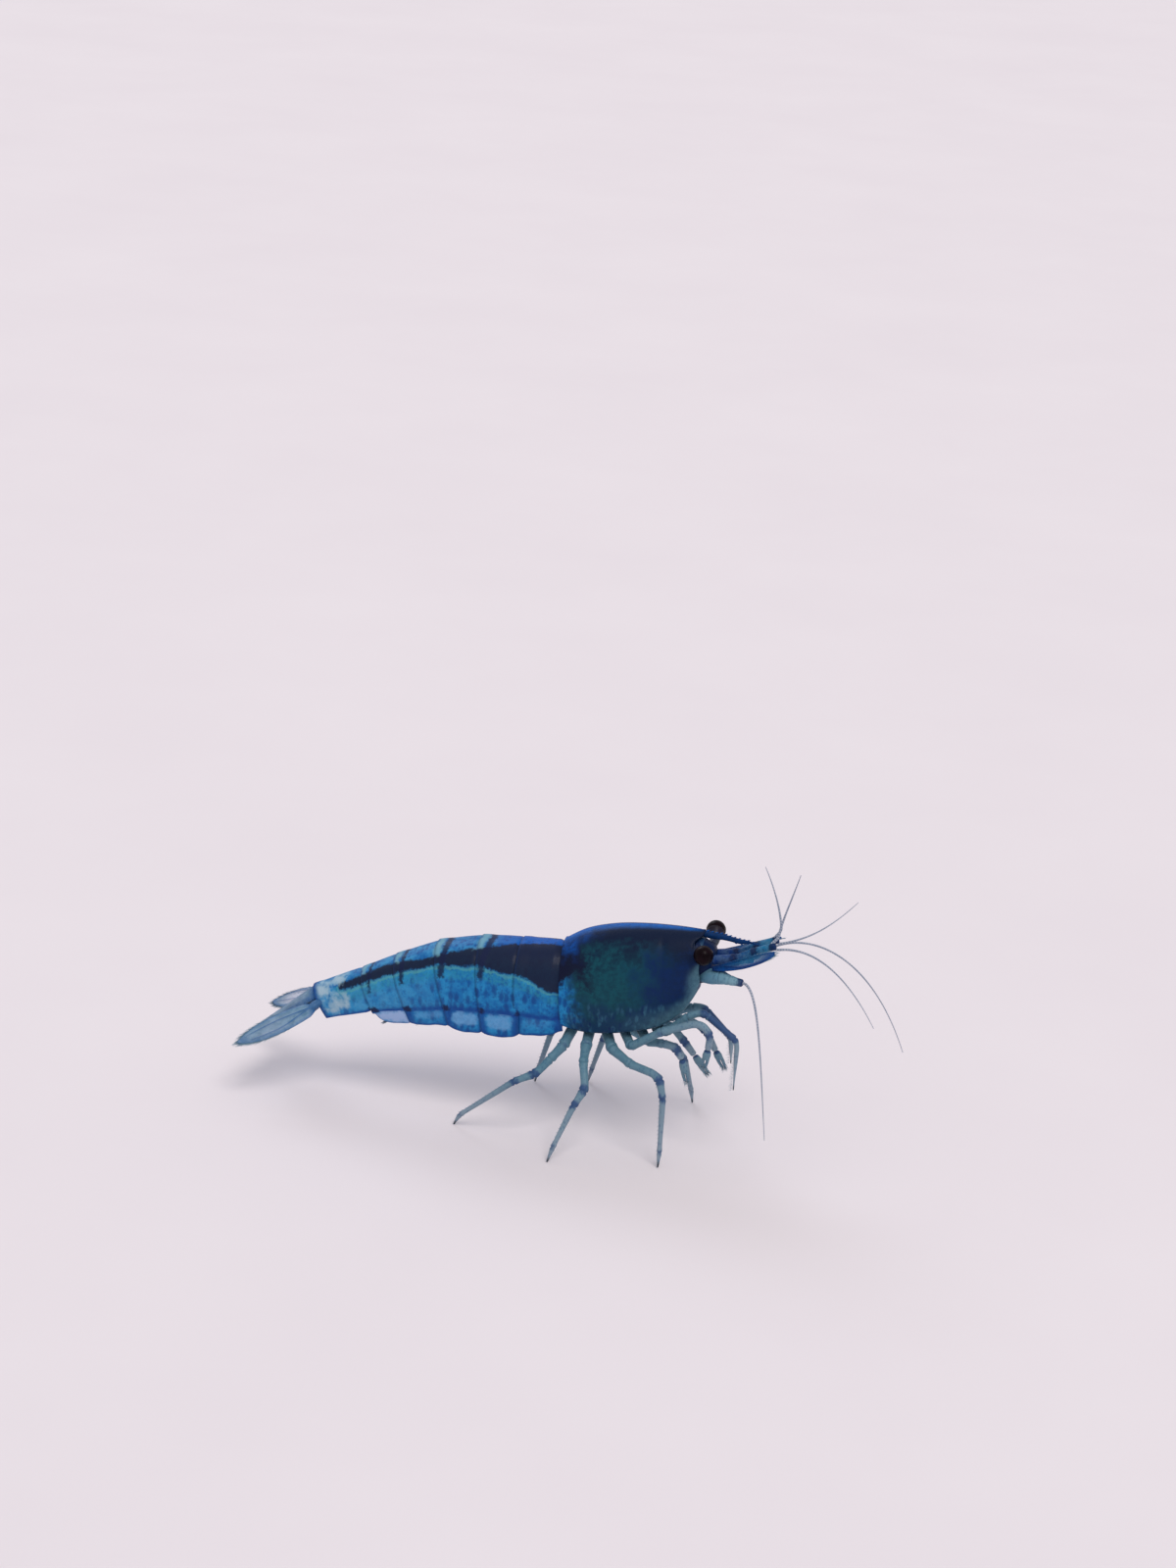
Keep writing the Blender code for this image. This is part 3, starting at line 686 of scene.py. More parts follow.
@dataclass(frozen=True)
class ShieldFinish(Finish):
    """Carapace, rostrum and face: dark navy, a bright blue back line that is painted rim light from above on
    the blue shell, a teal side and a streaked margin.
    """

    ground: str = "#0a1a36"
    gloss: float = 0.12
    coat: float = 0.02
    # Bright blue of the top line: painted rim light from above on the blue shell.
    crest: str = "#0062bc"
    teal: str = "#104a58"
    front: str = "#082654"
    margin: str = "#3f738c"
    hem: str = "#517a8c"
    saddle: str = "#064a9a"
    dark: str = "#0e122e"

    def paint(self, on: Layers) -> None:
        """Lays the colours by along, girth, the crest's painted rim light and hem.

        Args:
            on: The layers.
        """
        along, girth = on.value("along"), on.value("girth")
        clouds, fine = on.clouds(0.8), on.clouds(0.2, 1.2)
        around = on.wander(girth, clouds, 0.16)
        ahead = on.wander(along, clouds, 0.1)
        patchy = on.share(fine, 0.65, 1.0)
        on.lay(self.teal, on.band(ahead, 0.36, 0.12, 0.32), on.band(around, 0.6, 0.1, 0.3), patchy)
        on.lay(self.front, on.band(ahead, 0.76, 0.12, 0.24), on.band(around, 0.68, 0.14, 0.28), patchy)
        on.lay(self.dark, on.ramp(ahead, 0.26, 0.12), on.band(around, 0.42, 0.12, 0.16), 0.9)
        top = on.band(around, 0.16, 0.02, 0.2)
        on.lay(self.saddle, on.band(ahead, 0.07, 0.02, 0.2), top, on.share(fine, 0.4, 0.9))
        low = on.ramp(around, 0.68, 0.92)
        on.lay("#12395a", low, 0.85)
        on.lay(self.margin, low, on.spots(0.21, 0.9, 3.5), 0.52)
        on.lay(self.front, low, on.spots(0.15, 0.5, 4.0), 0.8)
        rear = on.times(on.ramp(ahead, 0.19, 0.04), on.ramp(around, 0.5, 0.62))
        on.lay(on.group(on.effects.flank, on.place), rear)
        on.lay(self.hem, on.value("hem"), on.share(fine, 0.7, 1.0))
        # The top line's bright blue is painted rim light from above, broken by darker spots.
        on.lay(self.crest, on.value("crest"), on.share(on.clouds(0.3, 1.2), 0.7, 1.0))
        on.lay(self.saddle, on.value("crest"), on.spots(0.16, 0.6, 1.0), 0.7)


@dataclass(frozen=True)
class RingFinish(Finish):
    """Abdomen: azure flanks, a dark band, a barred blue back, and clear windows."""

    ground: str = "#1468a6"
    gloss: float = 0.16
    deep_back: str = "#0056b0"
    back: str = "#0d62a4"
    light: str = "#3a92c6"
    dark: str = "#101a34"
    rim: str = "#5fa796"
    green: str = "#2b8ba8"
    line: str = "#0a428e"
    bar: str = "#0d1a40"
    patch: str = "#6ea4b6"
    spot: str = "#a6bfd0"
    window: str = "#6aa4d6"
    lilac: str = "#a2b8e0"

    def paint(self, on: Layers) -> None:
        """Lays the colours by the values of the abdomen's points.

        Args:
            on: The layers.
        """
        share, girth, band = on.value("share"), on.value("girth"), on.value("band")
        clouds, fine = on.clouds(0.5), on.clouds(0.13, 1.3)
        ragged = on.wander(on.wander(band, clouds, 0.1), fine, 0.06)
        low = on.ramp(girth, 0.45, 0.6)
        on.lay(on.group(on.effects.flank, on.place), 1.0)
        aft = on.value("aft")
        on.lay("#4a9cca", on.ramp(aft, 0.35, 0.8), on.share(clouds, 0.2, 0.9), 0.8)
        on.lay(self.green, on.band(ragged, -0.28, 0.12, 0.35), low, on.share(fine, 0.2, 0.65))
        on.lay(self.line, on.band(girth, 1.97, 0.03, 0.16), on.share(clouds, 0.6, 1.0))
        frames = on.math("MAXIMUM", on.band(share, 0.0, 0.03, 0.16), on.band(share, 1.0, 0.03, 0.16))
        on.lay(self.line, frames, on.ramp(on.wander(girth, fine, 0.3), 1.75, 2.05), 0.8)
        on.lay(self.line, on.ramp(girth, 2.78, 2.96), on.share(clouds, 0.5, 1.0))
        above = on.ramp(girth, 0.62, 0.4)
        on.lay(self.deep_back, above)
        on.lay(self.back, above, on.ramp(aft, 0.15, 0.35))
        on.lay(self.light, above, clouds, on.ramp(aft, 0.1, 0.5), 0.85)
        on.lay("#0b3a80", above, on.spots(0.2, 0.5, 1.5), 0.6)
        pale = on.value("pale")
        clear = on.ramp(on.wander(on.value("window"), clouds, 0.18), -0.12, 0.18)
        on.lay(self.window, clear, on.share(pale, 0.15, 1.0), on.share(fine, 0.75, 1.0))
        on.lay(self.lilac, clear, on.ramp(pale, 0.92, 1.0), 0.8)
        on.lay(self.rim, on.band(ragged, -0.07, 0.01, 0.11), low, 0.4)
        on.lay(self.dark, on.ramp(ragged, -0.05, 0.12), 0.97)
        pale_patch = on.ramp(on.wander(on.value("patch"), clouds, 0.14), -0.08, 0.14)
        on.lay(self.patch, pale_patch, 0.8)
        on.lay(self.spot, pale_patch, on.ramp(aft, 0.775, 0.8), 0.85)
        on.lay(self.bar, on.ramp(on.wander(on.value("bar"), fine, 0.08), -0.07, 0.08), 0.9)
        on.lay("#0e2c5c", on.math("MAXIMUM", on.ramp(share, 0.03, -0.02), on.ramp(share, 1.0, 1.05)), 0.3)
        on.lay("#0f3f86", on.value("end"), 0.85)


@dataclass(frozen=True)
class FinFinish(Finish):
    """Fins: thin and grey-teal, with blue ribs and a pale middle."""

    ground: str = "#7ea2be"
    shade: str = "#54809e"
    rib: str = "#245f9c"
    pale: str = "#c8d0e4"
    edge: str = "#2c68a8"
    clearness: float = 0.2

    def paint(self, on: Layers) -> None:
        """Lays the colours by along, rib, pale and edge.

        Args:
            on: The layers.
        """
        fine = on.clouds(0.12, 1.2)
        on.lay(self.shade, on.clouds(0.4), 0.9)
        on.lay(self.pale, on.value("pale"), on.share(fine, 0.6, 1.0))
        on.lay(self.edge, on.value("edge"), on.share(fine, 0.5, 0.9))
        on.lay(self.rib, on.math("MAXIMUM", on.value("rib"), on.ramp(on.value("along"), 0.12, 0.0)), 0.85)

    def cover(self, on: Layers) -> Socket:
        """Opaque ribs, and a membrane a little clear where it is pale."""
        return on.math("MAXIMUM", on.value("rib"), on.share(on.value("pale"), 1 - self.clearness, 0.5))


@dataclass(frozen=True)
class LimbFinish(Finish):
    """Legs and stems: grey-blue, speckled, and dark blue at the joints."""

    ground: str = "#527c90"
    tip: str = "#8698a8"
    joint: str = "#274676"
    spot: str = "#386084"
    claw: str = "#3a444e"

    def paint(self, on: Layers) -> None:
        """Lays the colours by joint and along.

        Args:
            on: The layers.
        """
        along, clouds = on.value("along"), on.clouds(0.3, 1.1)
        on.lay(self.tip, on.ramp(along, 0.25, 0.95))
        on.lay("#7fa0ae", clouds, 0.25)
        on.lay(self.spot, on.spots(0.11, 0.5, 1.6), 0.45)
        on.lay(self.joint, on.ramp(on.wander(on.value("joint"), clouds, 0.4), 0.25, 0.85), 0.9)
        on.lay(self.claw, on.ramp(along, 0.95, 0.985))


@dataclass(frozen=True)
class FeelerFinish(Finish):
    """Feelers: pale grey-lilac, darker at each ring."""

    ground: str = "#98a2b2"
    mark: str = "#76849c"

    def paint(self, on: Layers) -> None:
        """Lays the colours by ring."""
        on.lay("#b4bac6", on.clouds(0.5), 0.8)
        on.lay(self.mark, on.ramp(on.value("ring"), 0.75, 0.25))


@dataclass(frozen=True)
class CorneaFinish(Finish):
    """Eyes: near-black maroon with a net of facets."""

    ground: str = "#0d0308"
    glow: str = "#220a18"

    def facets(self, on: Layers) -> Socket:
        """Distance from a facet's middle."""
        inputs = {"Vector": on.place, "Scale": 1 / self.pore_size, "Randomness": 0.25}
        return on.add("ShaderNodeTexVoronoi", inputs).outputs["Distance"]

    def paint(self, on: Layers) -> None:
        """Lays clouds and the net."""
        on.lay(self.glow, on.clouds(0.4), 0.5)
        on.lay("#080206", on.ramp(self.facets(on), 0.25, 0.6), 0.6)

    def height(self, on: Layers) -> Socket:
        """Small domes."""
        return on.ramp(self.facets(on), 0.0, 0.6, 1.0, 0.0)


@dataclass(frozen=True)
class SkinFinish(Finish):
    """The soft underside: blue-grey and satin."""

    ground: str = "#2c5c78"
    vein: str = "#15365f"

    def paint(self, on: Layers) -> None:
        """Lays veins and spots."""
        on.lay(self.vein, on.clouds(0.4, 1.2))
        on.lay("#12305c", on.spots(0.15, 0.5), 0.6)


@dataclass(frozen=True)
class HairFinish(Finish):
    """Setae: pale grey-blue, paler at the tips."""

    ground: str = "#557a90"
    tip: str = "#a3b5c2"

    def paint(self, on: Layers) -> None:
        """Lays the colours by along."""
        on.lay(self.tip, on.ramp(on.value("along"), 0.0, 0.8))
        on.lay("#44688a", on.clouds(0.3), 0.3)


class Palette:
    """Every finish, built once."""

    def __init__(self) -> None:
        """Builds the effects and the finishes."""
        effects = Effects()
        self.shield = ShieldFinish().build("shield shell", effects)
        self.ring = RingFinish().build("ring shell", effects)
        self.fin = FinFinish().build("fin membrane", effects)
        self.scale = FinFinish(
            ground="#0a4480", shade="#082c62", rib="#0a2a5e", pale="#14709c", edge="#0850a0", clearness=0.04,
            gloss=0.1, coat=0.02,
        ).build("antennal scale", effects)
        self.leg = LimbFinish().build("leg shell", effects)
        self.stem = LimbFinish(
            ground="#0a3478", tip="#106c98", joint="#0c1c48", spot="#0a2c5e", claw="#0e2c5a", gloss=0.1,
        ).build("first antenna stem", effects)
        self.clear_stem = LimbFinish(
            ground="#5486a0", tip="#7ca4b4", joint="#1c3460", claw="#1c3460"
        ).build("second antenna stem", effects)
        self.stalk = LimbFinish(
            ground="#151338", tip="#16102c", joint="#160818", spot="#140c24", claw="#16060f"
        ).build("eye stalk", effects)
        self.feeler = FeelerFinish(coat=0.0).build("feeler", effects)
        self.cornea = CorneaFinish(
            roughness=0.28, coat=0.03, gloss=0.07, pore_size=0.045, pore_depth=0.25
        ).build("cornea", effects)
        self.skin = SkinFinish().build("underside skin", effects)
        self.hair = HairFinish(coat=0.0).build("setae", effects)


@dataclass
class Part:
    """A sub-assembly of the shrimp."""

    palette: Palette


# ---- body plan


@dataclass(frozen=True)
class Shield:
    """The carapace's plan, with stations from its rear edge to the eyes."""

    # Top x, top z, lower margin x, lower margin z, half width.
    stations: Table = (
        (1.3, 9.2, 1.55, 5.4, 1.58), (2.3, 9.82, 2.5, 5.3, 1.76), (3.6, 10.22, 3.65, 5.4, 1.86),
        (5.0, 10.42, 4.9, 5.66, 1.82), (6.3, 10.5, 6.15, 6.06, 1.66), (7.2, 10.51, 7.1, 6.8, 1.42),
        (7.76, 10.49, 7.7, 7.86, 1.12),
    )
    # Angle from the top line to the lower margin.
    wrap: float = radians(130)
    # The thorax's half width below the shield, and a hip's height against the margin.
    keel_half: float = 0.76
    hip_height: float = -0.32

    def station(self, share: float) -> tuple[Vector, Vector, float]:
        """The top point, lower-margin point and half width at a share of the length."""
        top_x, top_z, low_x, low_z, half = smooth_row(self.stations, share)
        return Vector((top_x, 0, top_z)), Vector((low_x, 0, low_z)), half

    def axis(self, share: float) -> tuple[Vector, Vector, float]:
        """A section's centre, the way up to the top, and half width.

        Args:
            share: Share of the shell's length.

        Returns:
            The three.
        """
        top, low, half = self.station(share)
        up = (top - low) / (1 - cos(self.wrap))
        return top - up, up, half

    def point(self, share: float, angle: float, depth: float) -> Vector:
        """A point of the shell, at an angle from the top line and a depth.

        Args:
            share: Share of the shell's length.
            angle: The angle.
            depth: Below the outer face.

        Returns:
            The point.
        """
        centre, up, half = self.axis(share)
        aside = Side.LEFT.out((half - depth) * sin(angle))
        return centre + up.normalized() * (up.length - depth) * cos(angle) + aside

    def hip(self, x: float, side: Side) -> Vector:
        """Where a limb grows from the thorax.

        Args:
            x: Its place along the body.
            side: Its side.

        Returns:
            The hip's centre.
        """
        low, high = 0.0, 1.0
        for _ in range(30):
            share = (low + high) / 2
            low, high = (share, high) if self.station(share)[1].x < x else (low, share)
        wide = self.keel_half * (1 - 0.25 * share ** 3)
        return Vector((x, side.value * wide * 0.75, self.station(share)[1].z + self.hip_height))


def pitch_back(degrees: float) -> Vector:
    """The way of a tailward axis that slopes down by this angle."""
    slope = radians(degrees)
    return Vector((-cos(slope), 0.0, -sin(slope)))


def pitch_up(degrees: float) -> Vector:
    """The back's side of that axis."""
    slope = radians(degrees)
    return Vector((-sin(slope), 0.0, cos(slope)))


@dataclass(frozen=True)
class Tail:
    """The abdomen's plan: six rings along a joint line that turns down."""

    start: Triple = (1.37, 0.0, 7.25)
    rear_edge_pitch: float = 3.8
    fan_pitch: float = 38.0
    # Each ring's length and slope.
    rings: Knots = ((1.92, 0.0), (1.8, 3.0), (1.9, 10.0), (2.05, 18.0), (1.75, 21.0), (2.65, 23.5))
    # At the seven joints: half width, rise of the back, the belly's depth.
    sizes: Places = (
        (1.55, 1.8, 1.55), (1.65, 1.65, 1.55), (1.62, 1.58, 1.55), (1.48, 1.45, 1.42), (1.25, 1.17, 1.22),
        (1.0, 0.92, 1.0), (0.68, 0.76, 0.78),
    )

    def joints(self) -> tuple[list[Vector], list[float]]:
        """The joints' places and their planes' pitches.

        Returns:
            Both lists, from the carapace back.
        """
        places, pitches = [Vector(self.start)], [self.rear_edge_pitch]
        for (length, pitch), (_, after) in pairwise([*self.rings, (0.0, self.fan_pitch)]):
            places.append(places[-1] + pitch_back(pitch) * length)
            pitches.append((pitch + after) / 2)
        return places, pitches

    def place(self, number: int, share: float) -> tuple[Vector, Vector, float, float, float]:
        """A section of the abdomen.

        Args:
            number: The ring, 1 to 6.
            share: Share of its length.

        Returns:
            Centre, way up, half width, rise and the belly's depth.
        """
        places, pitches = self.joints()
        near, far = self.sizes[number - 1:number + 1]
        centre = places[number - 1].lerp(places[number], share)
        up = pitch_up(mix(*pitches[number - 1:number + 1], share))
        return centre, up, *(mix(a, b, share) for a, b in zip(near, far))

    def behind(self, number: int, share: float = 1.0) -> float:
        """Distance behind the carapace."""
        return sum(length for length, _ in self.rings[:number - 1]) + self.rings[number - 1][0] * share


SHIELD = Shield()
TAIL = Tail()
RINGS = len(TAIL.rings)
LINKED_RINGS = range(1, RINGS)


# ---- body pieces


@dataclass
class Carapace(Part):
    """The shield over head and thorax: a thin shell with a rolled margin and a ridge."""

    rows: int = 84
    columns: int = 112
    thickness: float = 0.13
    margin_roll: float = 0.035
    ridge: float = 0.07
    # Hollows and spines of the front edge: girth, width and reach.
    front_edge: Places = ((0.3, 0.12, -0.34), (0.5, 0.045, 0.22), (0.82, 0.12, 0.1))
    hem_width: float = 1.15

    def place(self, share: float, turn: float, outer: bool) -> Vector:
        """A point of the shell: hollow at the eye, with a spine below, and a groove.

        Args:
            share: Share of the length.
            turn: -1 at the right margin, 1 at the left.
            outer: Whether it is on the outer face.

        Returns:
            The point.
        """
        girth = abs(turn)
        ends = (ease(0.0, 0.03, share), ease(1.0, 0.97, share), ease(1.0, 0.95, girth))
        depth = 0.0 if outer else thinned(self.thickness, *ends)
        rolled = self.margin_roll * (bump(girth - 0.975, 0.02) + bump(share, 0.012))
        groove = 0.035 * bump(share - 0.6 - 0.1 * girth, 0.018) * ease(0.12, 0.3, girth)
        point = SHIELD.point(share, SHIELD.wrap * turn, depth - rolled + groove)
        keel = self.ridge * ease(0.62, 0.95, share) * bump(turn, 0.035)
        point += SHIELD.axis(share)[1].normalized() * keel
        edge = sum(size * bump(girth - at, width) for at, width, size in self.front_edge)
        point.x += edge * ease(0.84, 1.0, share)
        return point

    def values(self, share: float) -> dict:
        """The named values of a row: its crest of painted rim light along the top line, and its clear hem
        from the eye to the jaws.

        Args:
            share: Share of the shell's length.

        Returns:
            The values by name.
        """
        girths = [abs(turn) for turn in even(-1, 1, self.columns)]
        # The crest value marks the painted rim light along the top line, narrowing and fading towards the
        # front.
        width, fade, ahead = mix(0.15, 0.075, share), ease(1.02, 0.8, share), ease(0.35, 0.8, share)
        insides = [min((1 - share) * 6.4, (1 - g) * 5.2) / self.hem_width for g in girths]
        return {
            "along": share, "girth": girths, "crest": [0.95 * ease(width, 0.0, g) * fade for g in girths],
            "hem": [ease(1.0, 0.2, i) * ease(0.5, 0.66, g) * ahead for i, g in zip(insides, girths)],
        }

    def build(self) -> None:
        """Makes the shell."""
        shell = Sculpt()
        shell.plate(even(0, 1, self.rows), even(-1, 1, self.columns), self.place, self.values)
        shell.dress("carapace_shell", self.palette.shield, Slot.SHIELD, "carapace")


# ---- grown pieces


def grown(name: str, source: bpy.types.Mesh, tree: NodeTree, inputs: dict) -> bpy.types.Object:
    """Runs a geometry node tree and keeps the result as a plain mesh.

    Args:
        name: The object's name.
        source: The mesh it starts from.
        tree: The tree.
        inputs: Values for its inputs.

    Returns:
        The object.
    """
    seedling = placed(name + "_source", source)
    modifier = seedling.modifiers.new("growth", "NODES")
    modifier.node_group = tree
    for item in tree.interface.items_tree:
        if item.in_out == "INPUT" and item.name in inputs:
            modifier[item.identifier] = inputs[item.name]
    mesh = bpy.data.meshes.new_from_object(seedling.evaluated_get(bpy.context.evaluated_depsgraph_get()))
    seedling.modifiers.remove(modifier)
    bpy.data.objects.remove(seedling)
    mesh.shade_smooth()
    return placed(name, mesh)


class Growth(Tree):
    """A geometry node tree that ends in plain geometry with a material."""

    def __init__(self, name: str, sizes: dict[str, float]) -> None:
        """Starts with the sizes' defaults.

        Args:
            name: The tree's name.
            sizes: Inputs and their defaults.
        """
        inputs = {"Geometry": None, **sizes, "Material": None}
        tree, self.given, self.end = new_group(name, "GeometryNodeTree", inputs, "Geometry")
        super().__init__(tree.tree)

    def swept(self, line: Socket, radius: Socket) -> Socket:
        """A closed round tube along a curve.

        Args:
            line: The curve.
            radius: Its radius.

        Returns:
            The tube.
        """
        circle = {"Resolution": self.given["Sides"], "Radius": 1.0}
        ring = self.add("GeometryNodeCurvePrimitiveCircle", circle).outputs[0]
        inputs = {"Curve": line, "Profile Curve": ring, "Scale": radius, "Fill Caps": True}
        return self.add("GeometryNodeCurveToMesh", inputs).outputs[0]

    def marked(self, line: Socket, name: str, value: Socket) -> Socket:
        """A geometry with a named value at its points."""
        inputs = {"Geometry": line, "Name": name, "Value": value}
        return self.add("GeometryNodeStoreNamedAttribute", inputs).outputs[0]

    def finish(self, made: Socket) -> NodeTree:
        """Realizes the instances and sets the material.

        Args:
            made: The geometry.

        Returns:
            The tree.
        """
        solid = self.add("GeometryNodeRealizeInstances", {"Geometry": made}).outputs[0]
        dressed = {"Geometry": solid, "Material": self.given["Material"]}
        self.feed(self.end, self.add("GeometryNodeSetMaterial", dressed).outputs[0])
        return self.tree


def bristle_tree() -> NodeTree:
    """Grows a tapered, bent hair on each root point.

    Returns:
        The tree.
    """
    tree = Growth("bristles", {"Slenderness": 0.05, "Bend": 0.1, "Spread": 0.1, "Sides": 4, "Seed": 1})
    given = tree.given
    line = tree.add("GeometryNodeCurvePrimitiveLine", {"Start": (0, 0, 0), "End": (0, 0, 1)}).outputs[0]
    line = tree.add("GeometryNodeResampleCurve", {"Curve": line, "Count": 5}).outputs[0]
    along = tree.add("GeometryNodeSplineParameter").outputs["Factor"]
    offset = tree.add("ShaderNodeCombineXYZ", {0: tree.times(along, along, given["Bend"])}).outputs[0]
    line = tree.add("GeometryNodeSetPosition", {"Geometry": line, "Offset": offset}).outputs[0]
    taper = tree.times(given["Slenderness"], tree.math("MULTIPLY_ADD", along, -0.88, 1.0))
    hair = tree.swept(tree.marked(line, "along", along), taper)
    way = tree.add("GeometryNodeInputNamedAttribute", {"Name": "way"}, data_type="FLOAT_VECTOR").outputs[0]
    facing = tree.add("FunctionNodeAlignRotationToVector", {"Vector": way}, axis="Z").outputs[0]
    sway = tree.add("FunctionNodeRandomValue", {"Seed": given["Seed"]}, data_type="FLOAT_VECTOR")
    for socket, sign in ((sway.inputs[0], -1.0), (sway.inputs[1], 1.0)):
        limit = tree.times(given["Spread"], sign)
        tree.feed(socket, tree.add("ShaderNodeCombineXYZ", {k: limit for k in range(3)}).outputs[0])
    turned = tree.add("FunctionNodeRotateRotation", {0: facing, 1: sway.outputs[0]}, rotation_space="LOCAL")
    length = tree.add("ShaderNodeVectorMath", {0: way}, operation="LENGTH").outputs["Value"]
    lot = tree.add("FunctionNodeRandomValue", {2: 0.84, 3: 1.08, "Seed": given["Seed"]}).outputs[1]
    hairs = {"Points": given["Geometry"], "Instance": hair, "Rotation": turned.outputs[0]}
    hairs["Scale"] = tree.times(length, lot)
    return tree.finish(tree.add("GeometryNodeInstanceOnPoints", hairs).outputs[0])


def flagellum_tree() -> NodeTree:
    """Turns a line into a tapering, ringed feeler.

    Returns:
        The tree.
    """
    radii = {"Root Radius": 1e-4, "Tip Radius": 2e-5}
    rings = {"Ring Length": 1.4e-4, "Ring Depth": 0.2, "Points": 160, "Sides": 8}
    tree = Growth("flagellum", radii | rings)
    given = tree.given
    line = tree.add("GeometryNodeMeshToCurve", {"Mesh": given["Geometry"]}).outputs[0]
    line = tree.add("GeometryNodeResampleCurve", {"Curve": line, "Count": given["Points"]}).outputs[0]
    place = tree.add("GeometryNodeSplineParameter")
    turns = tree.times(tree.math("DIVIDE", place.outputs["Length"], given["Ring Length"]), pi)
    wave = tree.math("ABSOLUTE", tree.math("SINE", turns))
    span = tree.math("SUBTRACT", given["Tip Radius"], given["Root Radius"])
    eased = tree.math("POWER", place.outputs["Factor"], 0.75)
    radius = tree.math("MULTIPLY_ADD", eased, span, given["Root Radius"])
    waist = tree.math("SUBTRACT", 1.0, tree.times(given["Ring Depth"], tree.math("SUBTRACT", 1.0, wave)))
    return tree.finish(tree.swept(tree.marked(line, "ring", wave), tree.times(radius, waist)))


BRISTLE_TREE = bristle_tree()
FLAGELLUM_TREE = flagellum_tree()


@dataclass
class Bristles:
    """Hairs, teeth or spines that one object holds."""

    name: str
    thickness: float = 0.014
    bend: float = 0.1
    sides: int = 3
    spread: float = 0.1
    seed: int = 5
    # Width of a hair's patch on its surface's unwrap.
    patch: float = 0.003
    # Each hair's root, way as long as it, and place on the unwrap.
    hairs: list[tuple[Vector, Vector, tuple[float, float, float]]] = field(default_factory=list)

    def add(self, root: Vector, way: Vector, u: float, v: float) -> None:
        """Plants a hair at a place of the body and of its surface's unwrap."""
        self.hairs.append((root, way, (u, v, 0.0)))

    def grow(self, finish: Material, slot: Slot, values: dict[str, float] | None = None) -> None:
        """Grows and dresses the hairs, each with a patch of the OFBake map at its root's place.

        Args:
            finish: Their material.
            slot: Its slot.
            values: Named values for all points.
        """
        source = bpy.data.meshes.new(self.name)
        source.from_pydata([in_frame(root) for root, _, _ in self.hairs], [], [])
        _, ways, places = zip(*self.hairs)
        for label, triples in (("way", [way * MM for way in ways]), ("root", places)):
            layer = source.attributes.new(label, "FLOAT_VECTOR", "POINT")
            layer.data.foreach_set("vector", [n for triple in triples for n in triple])
        usual = sum(way.length for way in ways) / len(ways)
        made = grown(self.name, source, BRISTLE_TREE, {
            "Slenderness": self.thickness / usual, "Bend": self.bend, "Spread": self.spread,
            "Sides": self.sides, "Seed": self.seed, "Material": finish,
        })
        mesh = made.data
        count = len(mesh.vertices)
        roots, along, corners = [0.0] * (3 * count), [0.0] * count, [0] * len(mesh.loops)
        mesh.attributes["root"].data.foreach_get("vector", roots)
        mesh.attributes["along"].data.foreach_get("value", along)
        mesh.loops.foreach_get("vertex_index", corners)
        spots = []
        for k in corners:
            turn = (k % self.sides) / self.sides - 0.5
            spots += [roots[3 * k] + self.patch * (along[k] - 0.5), roots[3 * k + 1] + self.patch * turn]
        mesh.uv_layers.new(name="OFBake").data.foreach_set("uv", spots)
        for spent in {"root", "way"} & set(mesh.attributes.keys()):
            mesh.attributes.remove(mesh.attributes[spent])
        for label, number in (values or {}).items():
            layer = mesh.attributes.get(label) or mesh.attributes.new(label, "FLOAT", "POINT")
            layer.data.foreach_set("value", [number] * count)
        dress(made, slot)


@dataclass
class Rostrum(Part):
    """The blade between the eyes, with teeth on its edges."""

    # Heights of the upper edge, and the depths below it, by x.
    upper_edge: Knots = ((6.7, 10.5), (7.6, 10.52), (8.4, 10.47), (9.6, 10.31), (10.42, 10.16))
    depths: Knots = ((6.7, 0.19), (7.9, 0.34), (9.2, 0.26), (10.42, 0.014))
    half_thickness: float = 0.1
    upper_teeth: int = 17
    lower_teeth: int = 4
    tooth: float = 0.17

    def edge(self, share: float) -> tuple[float, float, float]:
        """A section's x and the heights of its edges.

        Args:
            share: Share of the blade's length.

        Returns:
            The three.
        """
        x = mix(self.upper_edge[0][0], self.upper_edge[-1][0], share)
        top = between(self.upper_edge, x)
        return x, top, top - between(self.depths, x)

    def build(self) -> None:
        """Makes the blade and its teeth."""
        blade = Sculpt()
        rows, values = [], []
        for share in even(0, 1, 40):
            x, high, low = self.edge(share)
            middle, half = (high + low) / 2, (high - low) / 2
            thick = self.half_thickness * between(((0.0, 1.2), (0.4, 1.0), (1.0, 0.18)), share)
            rows.append([])
            for a in turns_of(16):
                flat = 0.45 + 0.55 * abs(sin(a))
                rows[-1].append(Vector((x, sin(a) * thick * flat, middle + cos(a) * half)))
            # Some painted rim light on the blade, more towards its tip.
            values.append({"along": 0.9, "girth": 0.1, "crest": 0.12 + 0.2 * share})
        blade.loft(rows, values)
        blade.dress("rostrum_blade", self.palette.shield, Slot.SHIELD, "rostrum")
        teeth = Bristles("rostrum_teeth", thickness=0.055, bend=0.12, sides=6, spread=0.0)
        for share in even(0.02, 0.93, self.upper_teeth - 1):
            x, high, _ = self.edge(share)
            way = Vector((0.85, 0, 0.62)).normalized() * self.tooth * mix(1.0, 0.6, share)
            teeth.add(Vector((x, 0, high - 0.02)), way, share, 0.75)
        for share in even(0.66, 0.88, self.lower_teeth - 1):
            x, _, low = self.edge(share)
            teeth.add(Vector((x, 0, low + 0.02)), Vector((0.82, 0, -0.48)) * self.tooth * 0.74, share, 0.25)
        # The teeth carry the painted rim light at half strength.
        teeth.grow(self.palette.shield, Slot.SHIELD, {"along": 0.9, "girth": 0.12, "crest": 0.5})


